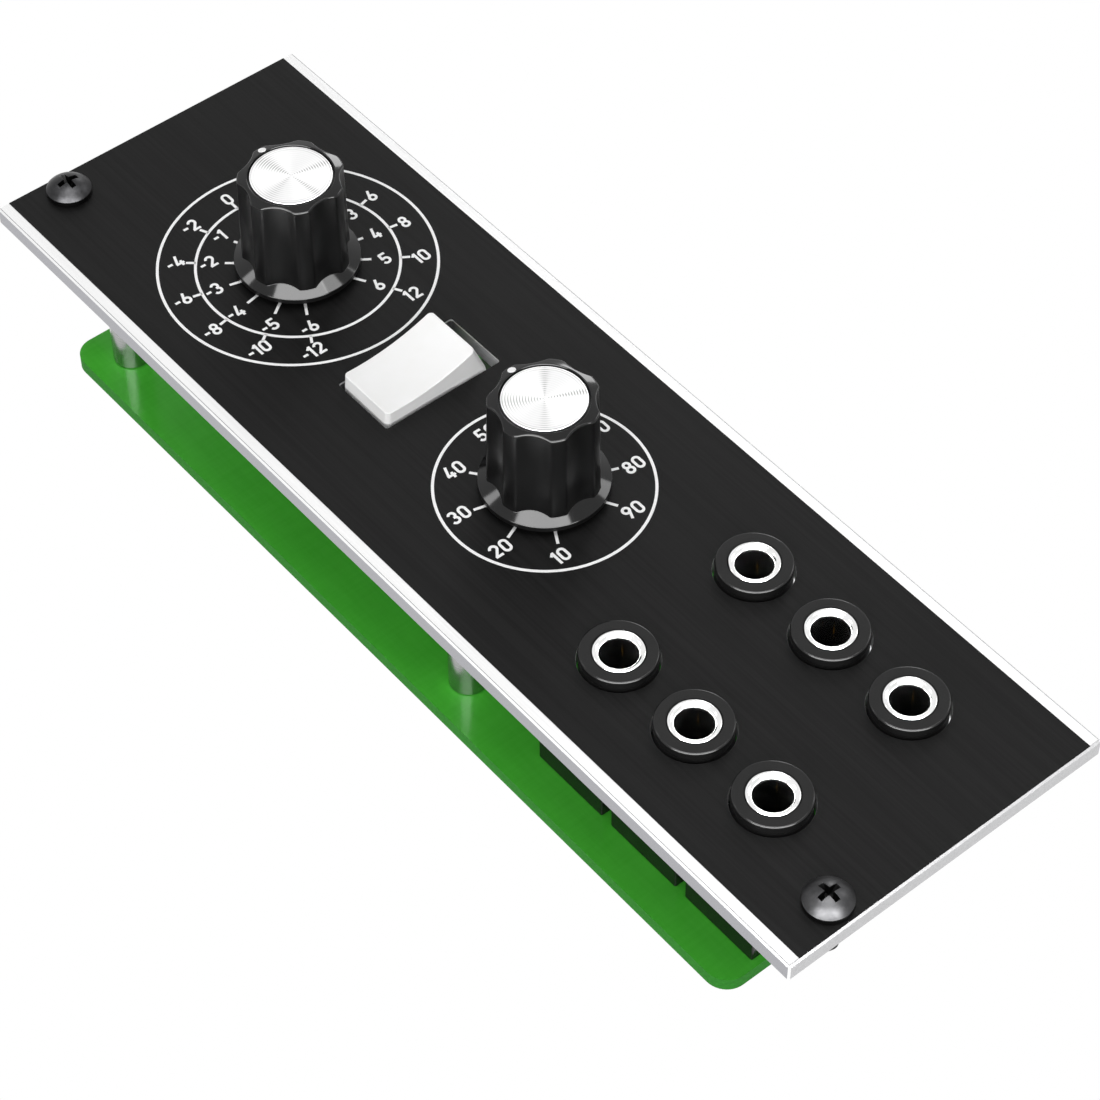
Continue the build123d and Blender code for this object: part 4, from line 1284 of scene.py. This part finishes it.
# Rocker
ROCKER_WIDTH = 7.55
ROCKER_CREST = 5.92
ROCKER_CREST_HEIGHT = 8.13
ROCKER_SAG = 0.7
ROCKER_END_LEAN = radians(13.5)
ROCKER_END_DROP = 3.9
ROCKER_END_FOOT = 1.8
ROCKER_KEEL_WIDTH = 4.4
ROCKER_KEEL_DEPTH = 1.4
ROCKER_CORNER_ROUND = 0.6
ROCKER_EDGE_ROUND = 0.16
DISH_STEPS = 20


def rocker_outline():
    """The key's side view: a dished top, leaning ends and a keel, about its pivot."""
    reach = ROCKER_CREST + ROCKER_END_DROP * tan(ROCKER_END_LEAN)
    shoulder = ROCKER_CREST_HEIGHT - ROCKER_END_DROP
    foot = shoulder - ROCKER_END_FOOT
    keel = ROCKER_KEEL_WIDTH / 2
    ball = (ROCKER_CREST**2 + ROCKER_SAG**2) / (2 * ROCKER_SAG)
    dish = []
    for i in range(DISH_STEPS + 1):
        u = ROCKER_CREST * (1 - 2 * i / DISH_STEPS)
        dish.append((u, ROCKER_CREST_HEIGHT - ROCKER_SAG + ball - sqrt(ball**2 - u**2)))
    under = [
        (-reach, shoulder), (-reach, foot), (-keel, -ROCKER_KEEL_DEPTH), (keel, -ROCKER_KEEL_DEPTH),
        (reach, foot), (reach, shoulder),
    ]
    return dish + under


def add_rocker():
    outline = rocker_outline()
    build = bmesh.new()
    sides = []
    for y in (-ROCKER_WIDTH / 2, ROCKER_WIDTH / 2):
        sides.append([build.verts.new((u, y, v)) for u, v in outline])
    close_between(build, *sides)
    bmesh.ops.recalc_face_normals(build, faces=build.faces)
    corners = [
        edge for edge in build.edges
        if all(abs(vert.co.x) >= ROCKER_CREST - 1e-3 and vert.co.z > 0 for vert in edge.verts)
        and abs(edge.verts[0].co.y - edge.verts[1].co.y) < 1e-6
    ]
    round_edges(build, corners, ROCKER_CORNER_ROUND, 6)
    key = softened(as_mesh(build), ROCKER_EDGE_ROUND, 4, 28)
    pivot = JOINT_PLACES["rocker_tilt"]
    key.transform(Matrix.Translation(pivot) @ Matrix.Rotation(-ROCKER_TILT, 4, "Y"))
    dress("rocker_key", key, FINISHES["rocker_white"], "switch_rocker", "rocker_white", "rocker", sharp=25)


# Jacks
JACK_WIDTH = 12.2
JACK_HEIGHT = 9.8
JACK_ROUND = 0.25
JACK_TOP = BOARD_FACE + 8.0
COLLAR_RADIUS = 4.0
COLLAR_TOP = 1.25
COLLAR_ROUND = 0.24
COLLAR_BORE = 2.75
SLEEVE_RADIUS = 2.65
SLEEVE_TOP = 1.30
SLEEVE_SEAT = -8.0
BORE_RADIUS = 1.85
MOUTH_DEPTH = 0.75
LIP_ROUND = 0.14
WELL_RADIUS = 2.4
WELL_FLOOR = BOARD_FACE + 2.0


def add_jacks():
    """Six housings and six bright sleeves."""
    box = slab(JACK_WIDTH, JACK_HEIGHT, BOARD_FACE, JACK_TOP, JACK_ROUND)
    collar = lathe(eased([
        (0, SLEEVE_SEAT - 1.0, 0), (COLLAR_RADIUS, SLEEVE_SEAT - 1.0, 0),
        (COLLAR_RADIUS, COLLAR_TOP, COLLAR_ROUND), (0, COLLAR_TOP, 0),
    ]), 128)
    well = lathe([
        (0, WELL_FLOOR), (WELL_RADIUS, WELL_FLOOR), (WELL_RADIUS, SLEEVE_SEAT), (COLLAR_BORE, SLEEVE_SEAT),
        (COLLAR_BORE, COLLAR_TOP + 1.0), (0, COLLAR_TOP + 1.0),
    ], 96)
    housing = cut(cut(box, collar, operation="UNION"), well)
    places = [(x, y, 0, 0) for x, y in JACKS]
    names = [f"jack_body_{i + 1}" for i in range(JACK_COUNT)]
    add_copies("jack_housings", housing, places, "jack_black", *names)
    lip = SLEEVE_RADIUS - BORE_RADIUS - LIP_ROUND
    sleeve = lathe([
        (BORE_RADIUS, SLEEVE_SEAT), (SLEEVE_RADIUS, SLEEVE_SEAT),
        *bend(SLEEVE_RADIUS - LIP_ROUND, SLEEVE_TOP - LIP_ROUND, LIP_ROUND, LIP_ROUND, 0, 90, 6),
        *bend(BORE_RADIUS + lip, SLEEVE_TOP - MOUTH_DEPTH, lip, MOUTH_DEPTH, 90, 180, 14),
        (BORE_RADIUS, SLEEVE_SEAT),
    ], 128)
    names = [f"jack_bushing_{i + 1}" for i in range(JACK_COUNT)]
    add_copies("jack_sleeves", sleeve, places, "bright_plating", *names)


# Potentiometers
POT_WIDTH = 11.0
POT_HEIGHT = 12.0
POT_ROUND = 0.55
POT_TOP = BOARD_FACE + 9.0
POT_FLANGE_RADIUS = 5.0
POT_FLANGE_THICKNESS = 0.7
POT_BUSHING_RADIUS = 3.45
POT_BUSHING_TOP = -0.4
POT_THREAD_PITCH = 0.75
POT_THREAD_DEPTH = 0.2
POT_BORE = 3.05
POT_TABS = [(-3.6, 6.05), (3.6, 6.05), (-3.6, -6.05), (3.6, -6.05)]
TAB_WIDTH = 1.7
TAB_THICKNESS = 0.3
TAB_LENGTH = 2.2


def add_pots():
    """Drawn steel cans with crimped tabs, and threaded bushings on round flanges."""
    can = slab(POT_WIDTH, POT_HEIGHT, BOARD_FACE, POT_TOP, POT_ROUND, 4)
    tab = slab(TAB_WIDTH, TAB_THICKNESS, BOARD_FACE, BOARD_FACE + TAB_LENGTH, 0.1, 2)
    foot = POT_TOP + POT_FLANGE_THICKNESS
    flange = lathe(eased([
        (POT_BORE, POT_TOP, 0), (POT_FLANGE_RADIUS, POT_TOP, 0), (POT_FLANGE_RADIUS, foot, 0.15),
        (POT_BORE, foot, 0), (POT_BORE, POT_TOP, 0),
    ]), 64)
    thread = threaded(
        POT_BUSHING_RADIUS, POT_THREAD_PITCH, foot, POT_BUSHING_TOP, POT_THREAD_DEPTH, POT_BORE, 72,
    )
    steel, brass = FINISHES["pot_case"], FINISHES["pot_bushing"]
    for name, y in DIALS.items():
        tabs = copies(tab, [(x, y + up, 0, 0) for x, up in POT_TABS], steel)
        case = joined(moved(can, y=y), tabs)
        dress(f"{name}_pot_can", case, steel, "module", "pot_case", f"{name}_pot_case")
        bushing = moved(joined(flange, thread), y=y)
        dress(f"{name}_threaded_bushing", bushing, brass, "module", "pot_bushing", f"{name}_pot_bushing")


# Parts soldered to the back of the board
BOARD_CENTRE = (BOARD_LOW + BOARD_HIGH) / 2
BOARD_HALF = (BOARD_HIGH - BOARD_LOW) / 2
CHIP_SHARES = [(-0.55, 0.11), (0.55, 0.11), (-0.52, 0.68), (0.52, 0.68), (0.0, 0.07)]
CHIP_LENGTH = 8.65
CHIP_WIDTH = 3.9
CHIP_THICKNESS = 1.5
LEAD_COUNT = 7
LEAD_PITCH = 1.27
LEAD_WIDTH = 0.42
LEAD_REACH = 1.05
LEAD_THICKNESS = 0.22
LEAD_RISE = 0.7
DIMPLE_RADIUS = 0.45
DIMPLE_PLACE = (-1.1, 3.4)
CAN_SHARES = [(-0.24, 0.90), (0.24, 0.90)]
CAN_BESIDE_HEADER = 13.3
CAN_RADIUS = 2.5
CAN_HEIGHT = 4.4
CAN_BASE_WIDTH = 5.3
CAN_BASE_THICKNESS = 0.9
RESISTOR_SHARES = [(-0.25, -0.30), (0.25, -0.30), (-0.62, -0.08), (0.62, -0.08), (0.0, -0.93)]
RESISTOR_LENGTH = 1.6
RESISTOR_WIDTH = 0.8
RESISTOR_THICKNESS = 0.45
RESISTOR_END = 0.32
RESISTOR_PITCH = 2.2
RESISTORS_IN_ROW = 4
HEADER_Y = centre_of("header_shroud").y
PIN_LOW, PIN_HIGH = panel_box("header_pins")
PIN_PITCH = 2.54
PIN_WIDTH = 0.64
POT_PIN_DROP = 4.0
POT_PIN_PITCH = 2.5
SWITCH_PIN_PITCH = 4.2
JACK_PIN_ASIDE = 4.75


def on_board(shares):
    """A place on the back of the board from shares of its half width and half height."""
    x = BOARD_CENTRE.x + shares[0] * BOARD_HALF.x
    y = BOARD_CENTRE.y + shares[1] * BOARD_HALF.y
    return (x, y, BOARD_BACK, 0)


def row(count, pitch, middle=0.0):
    return [middle + (i - (count - 1) / 2) * pitch for i in range(count)]


CHIP_PLACES = [on_board(shares) for shares in CHIP_SHARES]
CAN_PLACES = [on_board(shares) for shares in CAN_SHARES]
CAN_PLACES += [(side * CAN_BESIDE_HEADER, HEADER_Y, BOARD_BACK, 0) for side in (-1, 1)]
RESISTOR_PLACES = [
    (x, place[1], BOARD_BACK, 0)
    for place in map(on_board, RESISTOR_SHARES)
    for x in row(RESISTORS_IN_ROW, RESISTOR_PITCH, place[0])
]
HEADER_PIN_PLACES = [(x, y) for y in row(2, PIN_PITCH, HEADER_Y) for x in row(5, PIN_PITCH)]
SOLDERED_PINS = [(x, y - POT_PIN_DROP) for y in DIALS.values() for x in row(3, POT_PIN_PITCH)]
SOLDERED_PINS += [(x, JOINT_PLACES["rocker_tilt"].y) for x in row(3, SWITCH_PIN_PITCH)]
SOLDERED_PINS += [(x + side * JACK_PIN_ASIDE, y) for x, y in JACKS for side in (-1, 1)]


def gull_wing():
    """One bent lead, from the chip's side down to the board."""
    start, end = CHIP_WIDTH / 2 - 0.1, CHIP_WIDTH / 2 + LEAD_REACH
    knee = CHIP_WIDTH / 2 + LEAD_REACH / 2
    outline = eased([
        (start, -LEAD_RISE - LEAD_THICKNESS, 0), (knee, -LEAD_RISE - LEAD_THICKNESS, 0.2),
        (knee, -LEAD_THICKNESS, 0.1), (end, -LEAD_THICKNESS, 0), (end, 0, 0),
        (knee - LEAD_THICKNESS, 0, 0.2), (knee - LEAD_THICKNESS, -LEAD_RISE, 0.08), (start, -LEAD_RISE, 0),
    ], 3, True)
    lead = prism(outline, -LEAD_WIDTH / 2, LEAD_WIDTH / 2)
    lead.transform(Matrix.Rotation(pi / 2, 4, "X"))
    return lead


def add_chips():
    body = slab(CHIP_WIDTH, CHIP_LENGTH, -CHIP_THICKNESS, -LEAD_THICKNESS, 0.12, 2)
    dimple = lathe([(0, -0.1), (DIMPLE_RADIUS, -0.1), (DIMPLE_RADIUS, 0.2), (0, 0.2)], 32)
    body = cut(body, moved(dimple, *DIMPLE_PLACE, -CHIP_THICKNESS - 0.05))
    add_copies("chip_bodies", body, CHIP_PLACES, "chip_black", "chips")
    spots = [(0, y, 0, turn) for turn in (0, pi) for y in row(LEAD_COUNT, LEAD_PITCH)]
    leads = copies(gull_wing(), spots, FINISHES["tinned_leads"])
    add_copies("chip_leads", leads, CHIP_PLACES, "tinned_leads", "chips")


def add_capacitors():
    foot, top = -CAN_BASE_THICKNESS, -CAN_BASE_THICKNESS - CAN_HEIGHT
    can = lathe(eased([
        (0, foot, 0), (CAN_RADIUS - 0.1, foot, 0), (CAN_RADIUS, foot - 0.25, 0.1),
        (CAN_RADIUS, foot - 0.7, 0.1), (CAN_RADIUS - 0.22, foot - 0.95, 0.1), (CAN_RADIUS, foot - 1.2, 0.1),
        (CAN_RADIUS, top, 0.35), (CAN_RADIUS - 0.55, top, 0.08), (CAN_RADIUS - 0.6, top + 0.07, 0.05),
        (0, top + 0.07, 0),
    ]), 64)
    add_copies("capacitor_tins", can, CAN_PLACES, "can_metal", "capacitor_cans")
    mark = prism(bend(0, 0, 1.8, 1.8, 125, 235, 20), top + 0.04, top + 0.08)
    half, corner = CAN_BASE_WIDTH / 2, CAN_BASE_WIDTH / 2 - 1.0
    base = prism([
        (-half, -corner), (-corner, -half), (half, -half), (half, half), (-corner, half), (-half, corner),
    ], -CAN_BASE_THICKNESS, 0, 0.1, 2)
    add_copies("capacitor_seats", joined(base, mark), CAN_PLACES, "chip_black", "capacitor_bases")


def add_resistors():
    middle = RESISTOR_LENGTH - RESISTOR_END
    body = slab(RESISTOR_WIDTH - 0.03, middle, -RESISTOR_THICKNESS + 0.02, 0, 0.04, 2)
    add_copies("resistor_bodies", body, RESISTOR_PLACES, "chip_black", "chip_resistors")
    ends = [
        slab(RESISTOR_WIDTH, RESISTOR_END, -RESISTOR_THICKNESS, 0, 0.05, 2, 0, side * middle / 2)
        for side in (-1, 1)
    ]
    add_copies("resistor_ends", joined(*ends), RESISTOR_PLACES, "tinned_leads")


def add_header_pins():
    half = PIN_WIDTH / 2
    square = [(-half, -half), (half, -half), (half, half), (-half, half)]
    pin = prism(square, PIN_LOW.z, PIN_HIGH.z, 0.17, 1)
    places = [(x, y, 0, 0) for x, y in HEADER_PIN_PLACES]
    add_copies("header_posts", pin, places, "header_gold", "header_pins")


def add_solder():
    """Concave fillets of solder where each pin comes through the board."""
    outline = [
        (0, -0.05), (0.85, -0.05), (0.85, 0.02), (0.68, 0.08), (0.56, 0.2), (0.49, 0.4), (0.45, 0.65),
        (0.36, 0.74), (0, 0.76),
    ]
    finish = FINISHES["tinned_leads"]
    cone = lathe(outline, 20)
    above = copies(cone, [(x, y, BOARD_FACE, 0) for x, y in HEADER_PIN_PLACES], finish)
    cone.transform(Matrix.Rotation(pi, 4, "X"))
    below = copies(cone, [(x, y, BOARD_BACK, 0) for x, y in SOLDERED_PINS], finish)
    dress("solder_fillets", joined(above, below), finish, "module", "tinned_leads")


DRAWN_LINE = 0.18
CHIP_MARGINS = (3.0, 1.4)
CAN_MARGIN = 0.7
RESISTOR_MARGINS = (0.7, 0.8)


def drawn_frame(width, height, x, y):
    """A rectangle drawn in ink on the back of the board."""
    low, high = BOARD_BACK - 0.02, BOARD_BACK + 0.01
    aside, upward = (width - DRAWN_LINE) / 2, (height - DRAWN_LINE) / 2
    sides = [slab(DRAWN_LINE, height, low, high, 0, 1, x + side * aside, y) for side in (-1, 1)]
    ends = [slab(width, DRAWN_LINE, low, high, 0, 1, x, y + side * upward) for side in (-1, 1)]
    return joined(*sides, *ends)


def add_board_print():
    """Outlines that show where each part goes."""
    outlined = (
        (CHIP_WIDTH + CHIP_MARGINS[0], CHIP_LENGTH + CHIP_MARGINS[1], CHIP_PLACES),
        (CAN_BASE_WIDTH + CAN_MARGIN, CAN_BASE_WIDTH + CAN_MARGIN, CAN_PLACES[:2]),
        (RESISTOR_WIDTH + RESISTOR_MARGINS[0], RESISTOR_LENGTH + RESISTOR_MARGINS[1], RESISTOR_PLACES),
    )
    frames = [
        drawn_frame(width, height, *place[:2])
        for width, height, places in outlined for place in places
    ]
    dress("board_outlines", joined(*frames), FINISHES["white_print"], "module", "white_print")


place_camera()
light_the_studio()
lay_floor()
paint_kept_nodes()
add_dials()
for knob, height in DIALS.items():
    add_knob(knob, height)
add_rack_screws()
add_standoffs()
add_rocker()
add_jacks()
add_pots()
add_chips()
add_capacitors()
add_resistors()
add_header_pins()
add_solder()
add_board_print()

bpy.context.scene.view_settings.view_transform = "Standard"
